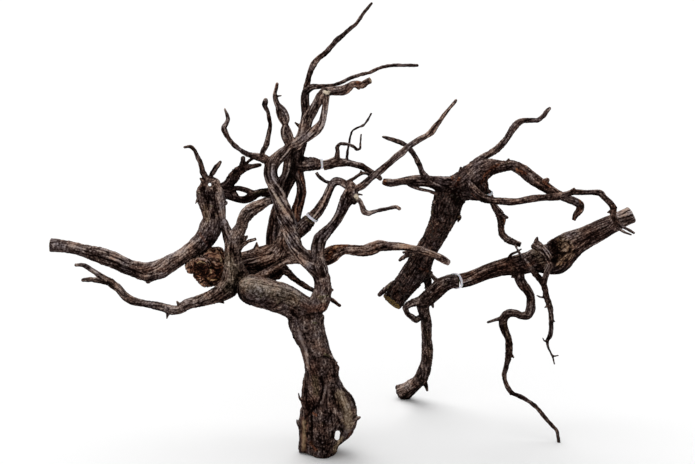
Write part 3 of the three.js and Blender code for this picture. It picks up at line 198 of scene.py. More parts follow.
LIMBS["dark_stem"] = Limb(20, "bare", -0.08, 0.02, [
    (-88, 342, 46, 12), (-87, 362, 46, 14), (-84, 383, 45, 14), (-80, 402, 43, 13), (-77, 420, 40, 11),
    (-70, 440, 37, 9.3), (-63, 458, 34, 9.3), (-55, 475, 31, 10), (-50, 492, 28, 12), (-47, 510, 26, 13),
    (-39, 530, 25, 9), (-38, 546, 24, 8), (-35.5, 562, 24, 7.4), (-33, 577, 24, 7.2), (-33.5, 592, 24, 7.2),
    (-34, 604, 24, 7.2), (-33, 613, 24, 6.6),
], spurs=[[(-39, 551, 24, 4.5), (-51, 561, 24, 1.5)]])
LIMBS["left_whip"] = Limb(21, "twig", 0.02, 0.0, [
    (-34, 608, 24, 6), (-31, 620, 25, 5.5), (-28.5, 635, 27, 5), (-24.5, 649, 29, 5), (-19, 660, 31, 5.4),
    (-12, 669, 33, 5), (0, 679, 36, 4.5), (10, 689, 39, 4.5), (20, 701, 42, 4.5), (32, 711, 46, 4),
    (42, 720, 48, 3.5), (52, 728, 50, 3), (60, 738, 52, 3), (67, 749, 54, 2.9), (80, 764, 58, 2.3),
])
LIMBS["right_whip"] = Limb(22, "twig", 0.0, 0.0, [
    (-33, 614, 22, 6), (-22, 621, 20, 5.2), (-10, 622, 17, 4.5), (2, 623, 14, 3.6), (16, 625, 10, 3.1),
    (30, 630, 6, 3.1), (42, 636, 3, 3.2), (60, 642.3, -4, 3.1), (76, 646, -9, 3), (88, 651.7, -12, 3),
    (101, 656, -15, 3), (115, 658, -18, 3), (132, 658.3, -21, 3), (146, 658, -24, 2.8), (158, 658, -27, 2.4),
])
LIMBS["short_stub"] = Limb(23, "bark", -0.06, 0.0, [
    (-50, 490, 28, 11), (-38, 490, 25, 12.5), (-26, 490, 22, 12.3), (-16, 490, 20, 10.8), (-9, 489, 19, 8.5),
])
LIMBS["slim_branch"] = Limb(24, "bare", 0.06, 0.0, [
    (-3, 488, 18, 9.2), (8, 490.5, 20, 9), (18, 493.5, 22, 8.6), (28, 493, 25, 7), (38, 492.5, 28, 6),
    (50, 489.7, 32, 5.7), (62, 486.7, 37, 5.5), (72, 481, 42, 5), (80, 476, 47, 5), (88, 471, 53, 4.5),
    (95, 465, 60, 3.8),
], ends=("sawn", "round"))
LIMBS["loop_twig"] = Limb(25, "twig", 0.0, 0.0, [
    (18, 492, 22, 6.5), (20.3, 501, 21, 5.2), (21.3, 511, 20, 4), (21.3, 519.7, 19, 3.7), (26, 524.5, 17, 3),
    (34, 524.5, 16, 2.8), (43, 522.5, 14, 2.8), (50, 519, 12, 2.6), (55, 515, 11, 2.6), (59.5, 517, 10, 2.2),
    (60, 525, 9, 1.7), (61.5, 541, 7, 1.5),
])
LIMBS["whip_twig"] = Limb(26, "twig", -0.18, 0.0, [
    (37.5, 491, 28, 3.2), (37.5, 504, 30, 2.5), (38.5, 514, 32, 2.3), (41, 525, 34, 2.1), (43, 537, 36, 1.8),
    (47, 547, 38, 1.8), (55, 552, 40, 1.8), (66, 557, 42, 2), (71, 563, 43, 1.8), (79, 577, 47, 1.4),
])
LIMBS["elbow_stem"] = Limb(31, "mottled", 0.05, 0.0, [
    (-161, 288, 0, 16), (-157, 303, 1, 18), (-155, 318, 0, 16.5), (-156, 332, 0, 14), (-157, 345, -1, 13.5),
    (-155, 358, 0, 13.5), (-149, 371, 2, 12), (-142, 384, 3, 11), (-137.5, 397, 5, 11.2),
    (-130.5, 407, 7, 11.6), (-121, 415, 10, 10.4), (-110, 421, 13, 8.8), (-99, 427, 16, 7.6),
    (-84, 430, 20, 7),
], spurs=[
    [(-140, 360, 0, 6), (-132, 368, 0, 2)], [(-155, 322, 1, 13), (-146, 309, 2, 13), (-138, 298, 4, 11)],
], lobes=0.12)
LIMBS["low_branch"] = Limb(34, "dashed", 0.02, 0.0, [
    (-364, 287.5, -8, 7), (-351, 278, -8, 7.3), (-341, 266.5, -8, 7.2), (-327, 258, -8, 6.8),
    (-308, 253.5, -8, 6.4), (-290, 250, -8, 6.8), (-273, 246, -8, 7.4), (-260, 242.5, -8, 8.5),
    (-248, 243, -8, 8), (-236, 251, -8, 9), (-222, 255, -8, 9.2), (-208, 259, -8, 10.5),
    (-195, 263.5, -8, 12.5), (-181, 270, -7, 15), (-168, 278, -4, 17), (-158, 287, 0, 18),
], spurs=[
    [(-266, 240, -8, 5), (-269, 228, -8, 1.2)], [(-246, 248, -8, 5), (-252, 257, -8, 1.5)],
    [(-180, 260, -8, 6), (-172, 254, -8, 1.5)],
])
LIMBS["low_fork_upper"] = Limb(35, "twig", 0.06, 0.0, [
    (-360, 287, -8, 6.5), (-372, 293.5, -10, 5.8), (-385, 302.5, -12, 5), (-398, 311, -14, 4.2),
    (-411, 318.5, -16, 3.6), (-425, 319, -18, 2.8),
])
LIMBS["low_fork_lower"] = Limb(36, "twig", 0.02, 0.0, [
    (-360, 288, -8, 6.5), (-375, 291.5, -6, 6), (-388, 293, -4, 5), (-401, 294, -2, 4), (-413, 293, 0, 3),
])
LIMBS["burl_log"] = Limb(27, "log", 0.06, 0.1, [
    (-228, 315, 27, 7), (-224, 317, 26, 14), (-215, 317, 25, 21), (-200, 313, 25, 28), (-186, 313, 27, 28),
    (-172, 318, 30, 22), (-156, 323, 33, 17), (-140, 323, 35, 18), (-122, 323.5, 36, 21), (-104, 328, 36, 21),
    (-87, 338, 36, 19), (-76, 350, 35, 15), (-70, 367, 33, 11), (-68, 386, 30, 7),
], spurs=[
    [(-198, 294, 10, 12), (-204, 287, 10, 7), (-212, 288, 7, 2.5)],
    [(-196, 335, 24, 15), (-180, 337, 27, 13)],
    [(-222, 318, 4, 4), (-213, 327, 0, 4.5), (-202, 325, -3, 4), (-196, 317, -4, 3)],
    [(-205, 332, 4, 5), (-192, 336, 3, 5), (-180, 332, 5, 4.5), (-174, 324, 8, 3)],
    [(-198, 297, 2, 4.5), (-186, 292, 4, 5), (-174, 298, 8, 4)],
    [(-119, 338, 32, 6), (-117, 349, 31, 4.5), (-116, 357, 31, 1)],
], pits=[
    [(-214, 320, -4, 4), (-206, 313, -4, 7), (-203, 300, 2, 6), (-206, 290, 8, 3)],
    [(-178, 302, 0, 4), (-168, 304, 6, 6)],
], lobes=0.13, start=("curled", 66))
LIMBS["right_branch"] = Limb(28, "bare", 0.13, 0.04, [
    (-72, 340, 36, 12), (-48, 334, 34, 12), (-24, 331, 33, 12.5), (-2, 331, 32, 14), (9, 336, 32, 15),
    (19, 341.5, 31, 13.5), (32, 345, 31, 9), (50, 343.5, 31, 8.7), (66, 343, 32, 9.5), (80, 347, 33, 11),
    (93, 352, 34, 10.5), (106, 351, 35, 8), (126, 350, 37, 6.5), (150, 347, 40, 5.9), (170, 342, 43, 6),
    (188, 334.5, 46, 6), (203, 327, 49, 6), (211, 322.5, 51, 5.2),
], lobes=0.12, ends=("round", "sawn"))
LIMBS["hanging_branch"] = Limb(29, "twig", -0.06, 0.0, [
    (-98, 298, 26, 7), (-86, 304, 27, 11), (-74, 311, 26, 10), (-64, 306.5, 24, 7), (-55, 298, 22, 6),
    (-44, 290, 21, 5), (-33, 282.5, 20, 4.5), (-20, 275.5, 20, 4.2), (-6, 269, 19, 3.8), (8, 261.5, 18, 3.5),
    (26, 249, 16, 3),
])
LIMBS["knee_root"] = Limb(30, "mottled", 0.08, 0.02, [
    (-126, 286, 0, 10), (-113, 295, 1, 10.5), (-101, 303, 5, 9), (-87, 313.5, 11, 6.5), (-70, 323, 15, 5.5),
    (-54, 327.5, 18, 7.5), (-40, 328, 20, 7.5),
])
LIMBS["rotten_upright"] = Limb(38, "dashed", 0.1, 0.03, [
    (-216, 350, 25, 16), (-206, 361, 25, 18), (-195, 380, 25, 20.5), (-188.5, 397, 25, 19),
    (-189, 414, 25, 20), (-192, 431, 25, 21.5), (-194, 446, 25, 20), (-192, 457, 25, 16), (-188, 465, 25, 11),
], spurs=[
    [(-176, 394, 20, 10), (-168, 384, 16, 7), (-160, 379, 14, 2)], [(-206, 440, 20, 9), (-216, 444, 18, 5)],
    [(-210, 434, 18, 5), (-216, 431, 16, 2.5), (-220, 423, 15, 1.3)],
    [(-202, 458, 22, 7), (-212, 466, 20, 2)], [(-176, 426, 22, 7), (-168, 424, 21, 4)],
], pits=[
    [(-200, 420, 4, 5), (-198, 434, 3, 9), (-195, 448, 4, 8)],
    [(-196, 455.5, -20, 2.6), (-196, 455.5, 25, 3), (-196, 455.5, 70, 2.6)],
    [(-193, 396, 2, 4), (-186, 388, 1, 5)],
], lobes=0.12, ends=("round", "broken"))
LIMBS["left_arm"] = Limb(37, "dashed", 0.1, 0.04, [
    (-467, 353, 30, 11), (-449, 351, 29, 10.7), (-430, 348, 28, 11), (-405, 341.5, 27, 11.3),
    (-382, 335.5, 26, 13), (-360, 327.5, 25, 13.8), (-340, 317.5, 25, 14.1), (-320, 310, 24, 14.5),
    (-300, 307, 24, 15.8), (-280, 312, 24, 15.4), (-260, 323.5, 24, 14.6), (-243, 333.5, 24, 14.2),
    (-228, 343, 25, 15), (-212, 355, 25, 17),
], spurs=[[(-300, 300, 20, 10), (-301, 290, 18, 4)]], ends=("sawn", "round"))
LIMBS["elbow_fork"] = Limb(32, "bare", -0.02, 0.0, [
    (-160, 350, 3, 8), (-165, 363, 6, 7.5), (-168, 375, 10, 7), (-171, 388, 15, 7),
])
LIMBS["elbow_twig"] = Limb(33, "twig", 0.0, 0.0, [
    (-151, 338, -6, 4), (-145, 345, -8, 3.4), (-138, 353.5, -9, 3.2), (-131, 358.5, -11, 3),
    (-124, 361, -12, 3), (-117, 363, -13, 2.6),
], ends=("round", "sawn"))
LIMBS["upright_twig_left"] = Limb(39, "twig", 0.02, 0.0, [
    (-196, 460, 22, 7), (-203, 468, 20, 5.2), (-208, 477, 18, 4.8), (-210, 487, 16, 4.5), (-213, 496, 14, 4),
    (-218, 505, 12, 3.7), (-222, 514, 10, 3.4), (-229, 520, 8, 3), (-240, 519, 6, 2.2),
])
LIMBS["upright_twig_right"] = Limb(40, "twig", -0.04, 0.0, [
    (-190, 462, 24, 5), (-194, 469, 24, 3), (-190, 477, 24, 4.8), (-185, 485, 24, 4.6), (-180, 491, 24, 3.4),
    (-177, 495, 24, 2.2),
])
LIMBS["bridge_limb"] = Limb(41, "bare", -0.08, 0.04, [
    (-180, 446, 32, 9), (-168, 443, 33, 11), (-158, 438, 33, 10), (-148, 431, 31, 6.5), (-138, 430, 29, 6.5),
    (-126, 434, 27, 7.2), (-112, 441, 23, 7), (-100, 442, 19, 8), (-88, 444, 15, 7),
], spurs=[[(-162, 446, 32, 6), (-150, 449, 31, 4.5), (-138, 447, 30, 4.5), (-122, 441, 26, 5)]])
LIMBS["bridge_arm"] = Limb(42, "twig", -0.12, 0.0, [
    (-178, 450, 32, 7), (-166, 456, 33, 8), (-157, 465, 33, 10), (-149.5, 476, 32, 8), (-140, 482.5, 31, 7),
    (-131, 485, 30, 5.3), (-120, 487, 29, 4.3), (-109, 489.5, 28, 2.6),
], spurs=[
    [(-142, 484, 31, 5), (-140, 494, 31, 4.6), (-139, 502, 31, 3.8)],
    [(-136, 487, 31, 3), (-131, 494, 30, 2.6), (-124, 499, 28, 2.6), (-113, 503, 21, 2.4)],
])
LIMBS["right_trunk"] = Limb(43, "bark", -0.08, 0.03, [
    (229, 464, 99, 13), (222, 453, 101, 20), (213, 436, 103, 24), (207, 416, 105, 23.5), (200, 396, 108, 21),
    (191, 377, 110, 19.5), (181, 358, 112, 19), (171, 340, 114, 18.5), (161, 321, 116, 20),
    (150, 304, 118, 20.7), (139, 288, 120, 19), (127, 272, 122, 17.8), (114, 255, 124, 19),
], spurs=[
    [(194, 428, 98, 8), (187, 424, 96, 4)], [(222, 404, 100, 6), (229, 399, 98, 3.5), (226, 393, 97, 1.5)],
    [(124, 290, 118, 6), (112, 284, 116, 5), (104, 278, 114, 4.6), (97.5, 273, 113, 4.2),
    (91.5, 267, 112, 3.6)],
    [(154, 334, 112, 7), (142, 336, 107, 4.5), (133, 331.5, 104, 3.6), (126, 326, 103, 2.6)],
    [(156, 342, 110, 4), (143, 342.5, 106, 2.6), (132, 340, 104, 1.6)],
    [(222, 434, 98, 14), (242, 440, 92, 11.5), (258, 437, 86, 9), (270, 434, 80, 6.5)],
    [(166, 306, 120, 9), (173.5, 295, 124, 7), (176, 281, 127, 6.6), (177, 262, 130, 5.5)],
    [(229, 470, 99, 4), (229.5, 478, 99, 2.7), (231, 485, 99, 2)], [(168, 300, 112, 8), (180, 305, 112, 6)],
], lobes=0.07, ends=("round", "sawn"), leans=[(1, (-0.61, -0.76, -0.22))])
LIMBS["bowed_branch"] = Limb(47, "dashed", -0.01, 0.03, [
    (228, 452, 100, 17), (243, 461, 98, 20), (256, 471, 97, 20), (268, 480, 96, 17.5), (280, 485, 94, 14.5),
    (292, 486.5, 91, 11.8), (305, 487, 87, 9.7), (319, 488, 82, 9.5), (335, 479.6, 76, 10),
    (350, 468, 70, 10.3), (365, 457.7, 64, 10.2), (378, 449.5, 59, 9.6), (390, 442, 55, 8), (402, 436, 51, 7),
    (414, 430.7, 48, 7), (426, 426.2, 45, 7.4), (434, 419.7, 43, 7.2), (432.5, 411, 41, 6),
    (426, 403.5, 39, 4.8), (422.5, 395, 37, 3.4),
], spurs=[
    [(310, 490, 84, 6), (312.5, 499, 83, 2)], [(372, 458, 58, 8), (379, 464, 56, 4)],
    [(264, 455, 90, 14), (270, 444, 92, 9)],
], ends=("round", "broken"))
LIMBS["broken_arm"] = Limb(45, "bare", 0.06, 0.03, [
    (211, 453, 102, 18.5), (192, 458, 98, 13.2), (176, 461, 92, 10.3), (160, 462, 86, 9), (146, 462, 80, 8),
    (133, 461.5, 76, 6.8), (120, 459, 72, 6.6), (108, 459, 68, 6.6), (99, 460, 65, 5.3),
], spurs=[
    [(198, 440, 98, 4), (187, 441, 94, 3.2), (176, 445, 90, 2.8), (165, 447, 86, 2.8), (154, 450, 83, 2.9),
    (142, 456, 79, 3.2)],
], lobes=0.12, ends=("round", "broken"))
LIMBS["arched_twig"] = Limb(46, "twig", 0.04, 0.0, [
    (197, 451, 92, 7.5), (183, 459, 89, 6.8), (171, 468, 85, 6), (164.5, 478, 81, 5.1), (161, 488, 76, 4.6),
    (156, 498, 71, 4.6), (150, 508, 65, 4.5), (143, 517, 60, 4.2), (134, 524.5, 54, 4.1), (124, 528.5, 48, 4),
    (114, 532, 43, 3.8), (98, 537, 36, 2),
])
LIMBS["wavy_branch"] = Limb(48, "twig", 0.07, 0.0, [
    (231, 460, 94, 7), (237, 474, 99, 7), (247, 485, 105, 7.2), (259, 494.3, 111, 6.8),
    (273, 503.8, 117, 6.2), (288.2, 512.4, 121, 6), (299.5, 523, 124, 5.8), (308.5, 533, 127, 5.7),
    (315.7, 544, 129, 5.7), (322.3, 554, 131, 6), (329, 561, 133, 5.8), (339, 564.5, 135, 4.8),
    (351, 564.5, 137, 4.1), (362, 565, 139, 4.1), (370, 571, 141, 4), (377, 580, 143, 3.6),
    (383, 586, 145, 3),
])
LIMBS["reaching_arm"] = Limb(49, "dashed", 0.0, 0.03, [
    (243, 463, 82, 5), (254, 446, 76, 7.2), (267, 434, 71, 7.4), (284, 428.7, 66, 6.6), (305, 426.7, 60, 6),
    (325, 426.7, 55, 6), (345, 430, 50, 6), (365, 433, 46, 6), (384, 434, 42, 6), (400, 435.5, 39, 6.2),
    (411, 439, 36, 5.4), (423, 442.5, 34, 5), (441, 442, 31, 4.6), (458, 442, 28, 4.8), (468, 441, 26, 5.2),
    (475.5, 433, 24, 5.3), (484, 424.7, 22, 5.4), (490, 416, 20, 5.4), (490, 405, 18, 5.3),
    (492, 396, 17, 4.8),
], spurs=[
    [(419, 443, 34, 4), (424, 449, 34, 2.4)], [(489, 416, 19, 4.5), (495, 416, 15, 3)],
    [(487, 410, 18, 4), (480, 408, 17, 1)],
])
LIMBS["forked_tip"] = Limb(50, "twig", -0.02, 0.0, [
    (491, 399, 17, 4.6), (499, 389.5, 15, 3.6), (508, 383, 14, 2.7), (517, 378, 13, 2.4), (526, 373, 12, 2.2),
], spurs=[
    [(493, 395, 17, 4.2), (496, 385, 16, 3.8), (504, 377.5, 15, 2.3), (513, 373, 14, 1.9),
    (521, 370, 13, 1.4)],
])
LIMBS["right_log"] = Limb(52, "log", -0.07, 0.1, [
    (229.5, 291, 84, 11.8), (245, 295, 83, 12.2), (260, 301, 82, 12.8), (275, 307, 80, 13.4),
    (291, 312, 78, 13.7), (308, 316, 75, 14.7), (325, 319, 72, 15.7), (342, 322, 70, 17.5),
    (358, 326, 68, 20.5), (376, 328.5, 66, 25.5), (390, 331, 64, 30), (405, 343, 62, 28),
    (417, 352.5, 60, 24.8), (430, 359.5, 57.5, 21.3), (443, 366, 55, 18.8), (464.5, 376.7, 51, 17.2),
    (485, 387, 48, 16), (500, 394.5, 45, 15), (521, 404, 42, 15),
], spurs=[
    [(392, 352, 48, 10), (396, 366, 50, 3)],
    [(312, 326, 68, 4), (316, 336, 66, 2.4), (326, 341, 62, 2), (334, 346, 58, 1.3)],
], lobes=0.06, ends=("sawn", "sawn"), leans=[(1, (0.89, 0.45, 0.06))])
LIMBS["leg"] = Limb(57, "dashed", -0.01, 0.03, [
    (227.5, 291, 84, 11.5), (215, 290.5, 86, 12.4), (203.5, 286.5, 89, 13), (192.5, 278.5, 94, 13),
    (181, 268.5, 101, 13), (169.5, 257, 109, 12.2), (167, 245, 118, 10.5), (170, 233, 127, 9.4),
    (172, 221, 137, 9), (173, 207, 148, 8.8), (173, 193, 160, 8.9), (173.5, 179, 173, 9.5),
    (173.5, 165, 186, 9.8), (172, 151, 199, 10.2), (168.5, 138, 213, 10.8), (163, 126.5, 228, 11.3),
    (154.5, 117.5, 241, 11.6), (145, 110, 251, 12), (134, 104, 259, 13), (128, 102, 263, 13),
], spurs=[
    [(176, 258, 106, 6), (181, 254, 104, 4), (184, 246, 103, 1.5)],
    [(168, 121, 232, 6), (172, 113, 234, 3.5), (174, 105, 235, 2)],
    [(194, 288, 92, 5), (185, 297, 104, 3.5), (178, 304, 112, 3.5)],
    [(137, 107, 256, 7), (127, 111, 260, 4.5), (121.5, 114, 262, 1.2)],
    [(136, 99, 258, 7), (129, 94.5, 262, 3.5), (125, 94, 263, 1)],
    [(142, 98, 254, 7), (137, 91, 256, 3), (134, 88.5, 257, 1)],
], lobes=0.08, ends=("sawn", "broken"))
LIMBS["leg_loop"] = Limb(58, "twig", -0.06, 0.02, [
    (170, 258, 104, 9), (158, 256, 104, 7.6), (146.5, 253, 106, 6.4), (137, 246.5, 109, 5.4),
    (140.5, 236.5, 113, 4.8), (148.5, 230, 118, 4.8), (155, 225.5, 122, 5), (162, 230, 123, 5),
    (169, 231, 122, 5),
])
LIMBS["prop_twig"] = Limb(53, "dashed", -0.14, 0.05, [
    (325, 322, 64, 9), (331, 309, 69, 8.7), (330.5, 297, 73, 8.5), (335.5, 286.5, 76, 8.2),
    (344, 276.5, 78, 7.8), (349.5, 266, 78, 7.7), (350, 254.5, 76, 7.6), (349, 243, 72, 7.8),
    (344.5, 234, 68, 7.4), (334, 232.5, 66, 6.6), (323.5, 236.5, 66, 6.8), (312, 236.5, 68, 7.4),
    (304.5, 229.5, 71, 7.5), (303, 218.5, 73, 7), (306, 207, 74, 6.6), (311, 195, 74, 6.4),
    (313, 182, 73, 6.1),
], spurs=[
    [(322, 300, 72, 4), (317, 298, 71, 1.5)],
    [(302, 228, 71, 4.5), (291, 226, 68, 2.8), (282, 223, 66, 2.6), (276, 221, 65, 2)],
])
LIMBS["prop_tip"] = Limb(54, "twig", -0.14, 0.03, [
    (312.5, 186, 73, 6), (313, 171, 72, 6), (311, 158, 71, 5.3), (308, 146, 70, 4.6), (305, 134, 69, 4.1),
    (306.5, 121, 68, 4), (311, 110, 67, 4), (319, 101, 66, 3.9), (330, 96, 64, 3.7), (345, 88, 61, 3.5),
    (358, 78, 58, 3.5), (368, 67, 56, 3.5), (377, 56, 54, 3.4), (386, 46, 52, 3.2), (394.5, 36.5, 50, 3.1),
    (396, 28, 48, 2.8), (398, 16, 46, 3),
], spurs=[
    [(315, 168, 72, 4), (321, 161, 71, 1.4)], [(315, 104, 66, 3), (315.5, 98, 66, 1.4)],
], ends=("round", "sawn"))
LIMBS["hook_strand"] = Limb(56, "bare", 0.02, 0.02, [
    (355, 355.5, 50, 8.6), (363, 349.5, 46, 9.4), (372, 341, 40, 8), (380, 330, 34, 6.5),
    (383.5, 319, 33, 5.6), (378.5, 309, 35, 5.6), (375, 299, 39, 5), (372, 287, 45, 5),
], spurs=[[(359, 358, 48, 5), (361, 366, 48, 1.8)]], ends=("broken", "round"))
LIMBS["drop_twig"] = Limb(55, "twig", -0.1, 0.02, [
    (323, 353, 66, 1.7), (329, 342, 60, 2), (338, 328, 52, 3.5), (350, 313, 48, 5), (360, 301, 45, 5.7),
    (369, 290, 45, 5.2), (374, 279, 46, 5.4), (376, 267, 47, 5.4), (380, 255, 48, 5), (383.5, 242, 48, 4.8),
    (384.5, 228, 48, 4.2), (384.5, 213, 48, 4.1), (383, 200, 47, 4), (378.5, 190, 46, 3), (379, 181, 45, 2),
    (383, 171, 44, 1.9), (387, 163, 43, 1.7), (390, 150, 42, 1.1),
], spurs=[
    [(374, 264, 47, 3), (367, 264, 45, 1.8), (360, 267, 43, 1)],
    [(377, 189, 46, 2), (373, 190, 45, 1.5), (370, 195, 44, 0.9)],
    [(387, 164, 43, 1.6), (391, 164, 42, 1.3), (397, 165, 41, 1)], [(386, 226, 47, 2.5), (391, 222, 46, 1)],
    [(380, 250, 48, 3), (373, 246, 47, 1)],
])
LIMBS["hanging_twig"] = Limb(51, "twig", -0.04, 0.04, [
    (276, 445, 90, 5.4), (281.5, 433, 91, 5.4), (288.5, 417.5, 92, 5.8), (296.5, 406, 93, 7),
    (300.5, 396, 94, 7.4), (299.5, 384, 94, 6), (301, 372, 94, 6), (308, 363.5, 93, 6), (319, 358, 92, 5.4),
    (333, 353, 90, 4.6),
], spurs=[[(304, 401, 93, 4.5), (311, 399, 92, 2)]], ends=("round", "sawn"))

# The grown pieces: the record's slot, the spacing of the skin in millimetres and the limbs each is made of
PIECES = {
    "trunk_wood": ("grey_wood", 1.46, (
        "trunk", "left_knee", "front_limb", "right_stem", "left_stem", "inner_strand", "crown_branch",
        "crown_hook", "loop_stem", "low_side_branch", "high_side_branch", "long_switch", "bent_twig",
        "cut_twig",
    )),
    "low_left_wood": ("pale_wood", 1.15, (
        "elbow_stem", "elbow_fork", "elbow_twig", "low_branch", "low_fork_upper", "low_fork_lower",
    )),
    "left_arm_wood": ("grey_wood", 1.15, (
        "left_arm", "rotten_upright", "upright_twig_left", "upright_twig_right",
    )),
    "burl_wood": ("chestnut_wood", 1.15, ("burl_log", "right_branch", "hanging_branch", "knee_root")),
    "dark_stem_wood": ("dark_wood", 1.1, ("dark_stem", "left_whip", "right_whip", "short_stub", "arc_limb")),
    "slim_branch_wood": ("grey_wood", 0.9, ("slim_branch", "loop_twig", "whip_twig")),
    "tied_branch_wood": ("grey_wood", 1.0, ("tied_stub", "tied_branch", "black_twig")),
    "bridge_wood": ("dark_wood", 1.0, ("bridge_limb", "bridge_arm")),
    "right_trunk_wood": ("dark_wood", 1.25, (
        "right_trunk", "bowed_branch", "broken_arm", "arched_twig", "wavy_branch", "reaching_arm",
        "forked_tip",
    )),
    "right_log_wood": ("grey_wood", 1.15, ("right_log", "prop_twig", "prop_tip", "hook_strand", "drop_twig")),
    "leg_wood": ("grey_wood", 1.1, ("leg", "leg_loop")),
    "hanging_twig_wood": ("dark_wood", 0.9, ("hanging_twig",)),
}


class Relief(NamedTuple):
    """Relief of the wood, in millimetres."""

    flute: float  # depth of the flutes along the grain
    width: float  # of a flute
    length: float  # of a flute
    turn: float  # how many radians the grain turns in a millimetre
    crack: float  # depth of the drying cracks
    lump: float  # height of the lumps
    grit: float  # height of the grit
    line: float  # how strongly flutes and cracks show in the tone
    speck: float  # how strongly grit shows in the tone
    curl: float  # how tightly the grain curls, 0 where it runs straight


RELIEFS = {
    "bare": Relief(0.75, 3.6, 46, 0.008, 1.2, 0.6, 0.2, 1.0, 0.6, 0),
    "twisted": Relief(1.2, 4.4, 60, 0.022, 1.5, 0.6, 0.2, 1.15, 0.5, 0),
    "mottled": Relief(0.4, 3.2, 13, 0.004, 0.5, 0.8, 0.7, 0.4, 1.05, 0),
    "dashed": Relief(0.55, 3.2, 24, 0.006, 0.7, 0.7, 0.45, 0.65, 1.0, 0),
    "bark": Relief(0.8, 4.4, 15, 0.002, 1.0, 1.2, 0.6, 0.7, 1.1, 0),
    "log": Relief(0.6, 3.2, 90, 0.003, 1.1, 0.5, 0.25, 0.95, 0.6, 0),
    "curled": Relief(2.4, 5.0, 14, 0.03, 0.8, 1.6, 0.4, 1.9, 0.6, 3.0),
    "twig": Relief(0.5, 2.7, 26, 0.012, 0.4, 1.7, 0.25, 0.8, 0.8, 0),
}

# Marks seen from the sight point: for a piece and a kind of mark, rows of a width in millimetres, a strength
# and the places (across, up) that the mark runs through
MARKS = {}
MARKS["trunk_wood", "pale"] = [
    (7, 0.9, (-45, 208), (-40, 191), (-33, 174), (-30, 154), (-28, 143)),
    (3.5, 0.5, (-11, 214), (-10, 194), (-11, 177)), (3.5, 0.4, (-10, 169), (-1, 171), (8, 167), (14, 160)),
    (6, 0.7, (1, 111), (-3, 96), (-7, 84)), (4, 0.7, (7, 106), (6, 90), (7, 72)),
    (8, 0.4, (-37, 58), (-38, 27), (-37, 4)), (14, 0.7, (24, 104), (33, 86), (42, 66)),
    (18, 0.75, (18, 68), (33, 60), (43, 50)), (10, 0.7, (42, 48), (37, 36)), (7, 0.55, (-36, 52), (-37, 6)),
    (7, 0.7, (30, 26), (22, 14), (17, 4)), (20, 0.25, (-137, 291), (-110, 286)),
    (14, 0.3, (-96, 281), (-81, 276)), (5, 0.7, (-91, 242), (-76, 247)),
    (6, 0.45, (-89, 288), (-62, 281), (-38, 266), (-28, 259)), (5, 0.6, (-28, 257), (-19, 266), (-17, 276)),
    (9, 0.45, (-21, 322), (-13, 315)), (4, 0.45, (4, 305), (8, 286)),
    (2.5, 0.7, (-81, 400), (-71, 381), (-68, 366), (-67, 353)),
    (2.5, 0.7, (-72, 351), (-62, 336), (-50, 326), (-42, 319)),
    (3.5, 0.5, (-58, 403), (-51, 376), (-46, 357)), (8, 0.3, (-64, 404), (-60, 380)),
    (5, 0.5, (-3, 613), (-17, 594), (-28, 568), (-40, 545)), (3, 0.35, (-6, 596), (-17, 574), (-23, 562)),
    (4, 0.5, (6, 608), (3, 579), (-3, 557), (-20, 543), (-45, 528), (-68, 514)),
    (8, 0.3, (-79, 503), (-88, 492)), (6, 0.75, (-91, 455), (-79, 429), (-68, 409), (-59, 390)),
    (4, 0.4, (-62, 503), (-57, 480), (-74, 463)), (4, 0.4, (-79, 588), (-68, 577), (-62, 565)),
    (3, 0.5, (-71, 562), (-57, 543), (-54, 531)), (5, 0.4, (42, 628), (37, 613)),
    (6, 0.5, (74, 634), (80, 631)), (5, 0.3, (14, 619), (37, 622)),
    (4, 0.35, (40, 455), (25, 426), (14, 404)), (3, 0.4, (-3, 372), (-9, 350), (-7, 330)),
    (3, 0.5, (75, 470), (105, 505), (135, 545), (165, 575)),
]
MARKS["trunk_wood", "dark"] = [
    (2.5, 0.6, (-35, 203), (-28, 174), (-26, 149)), (5, 0.7, (-31, 234), (-11, 237)),
    (4, 0.9, (-7, 162), (3, 163), (11, 158)), (5, 0.8, (-34, 109), (-33, 92), (-31, 75)),
    (4, 0.6, (-31, 33), (-30, 32)), (2.5, 0.7, (3, 103), (3, 75)), (5, 0.55, (13, 109), (17, 86)),
    (4, 1.0, (30, 109), (44, 98), (51, 81), (59, 61)), (2, 0.6, (20, 101), (25, 75), (31, 64)),
    (1.6, 0.6, (29, 100), (37, 79), (45, 58)), (1.6, 0.6, (24, 92), (32, 71), (39, 50)),
    (1.5, 0.5, (20, 71), (30, 63), (36, 45)), (2.5, 0.7, (3, 100), (-1, 84)),
    (5, 0.8, (10, 69), (20, 61), (28, 47)), (2.5, 0.8, (-89, 245), (-72, 257), (-57, 262)),
    (28, 0.2, (-62, 247), (-30, 236)), (5, 0.7, (-38, 320), (-21, 303), (-16, 286)),
    (3, 0.7, (-61, 378), (-58, 364), (-52, 349)), (3, 0.7, (-74, 346), (-60, 328), (-47, 322)),
    (3, 0.7, (-10, 603), (-23, 582), (-33, 560)), (2.5, 0.7, (-3, 552), (-23, 537), (-48, 523)),
    (10, 0.35, (-99, 486), (-96, 466)), (2.5, 0.8, (-86, 452), (-74, 429), (-62, 407)),
    (4, 0.6, (-93, 446), (-84, 418), (-74, 395)), (4, 0.5, (51, 622), (53, 618)),
    (3, 0.5, (45, 430), (30, 405), (16, 388)), (3, 0.5, (0, 300), (2, 282), (-6, 262)),
    (4, 0.5, (24, 200), (14, 180), (16, 130)),
]
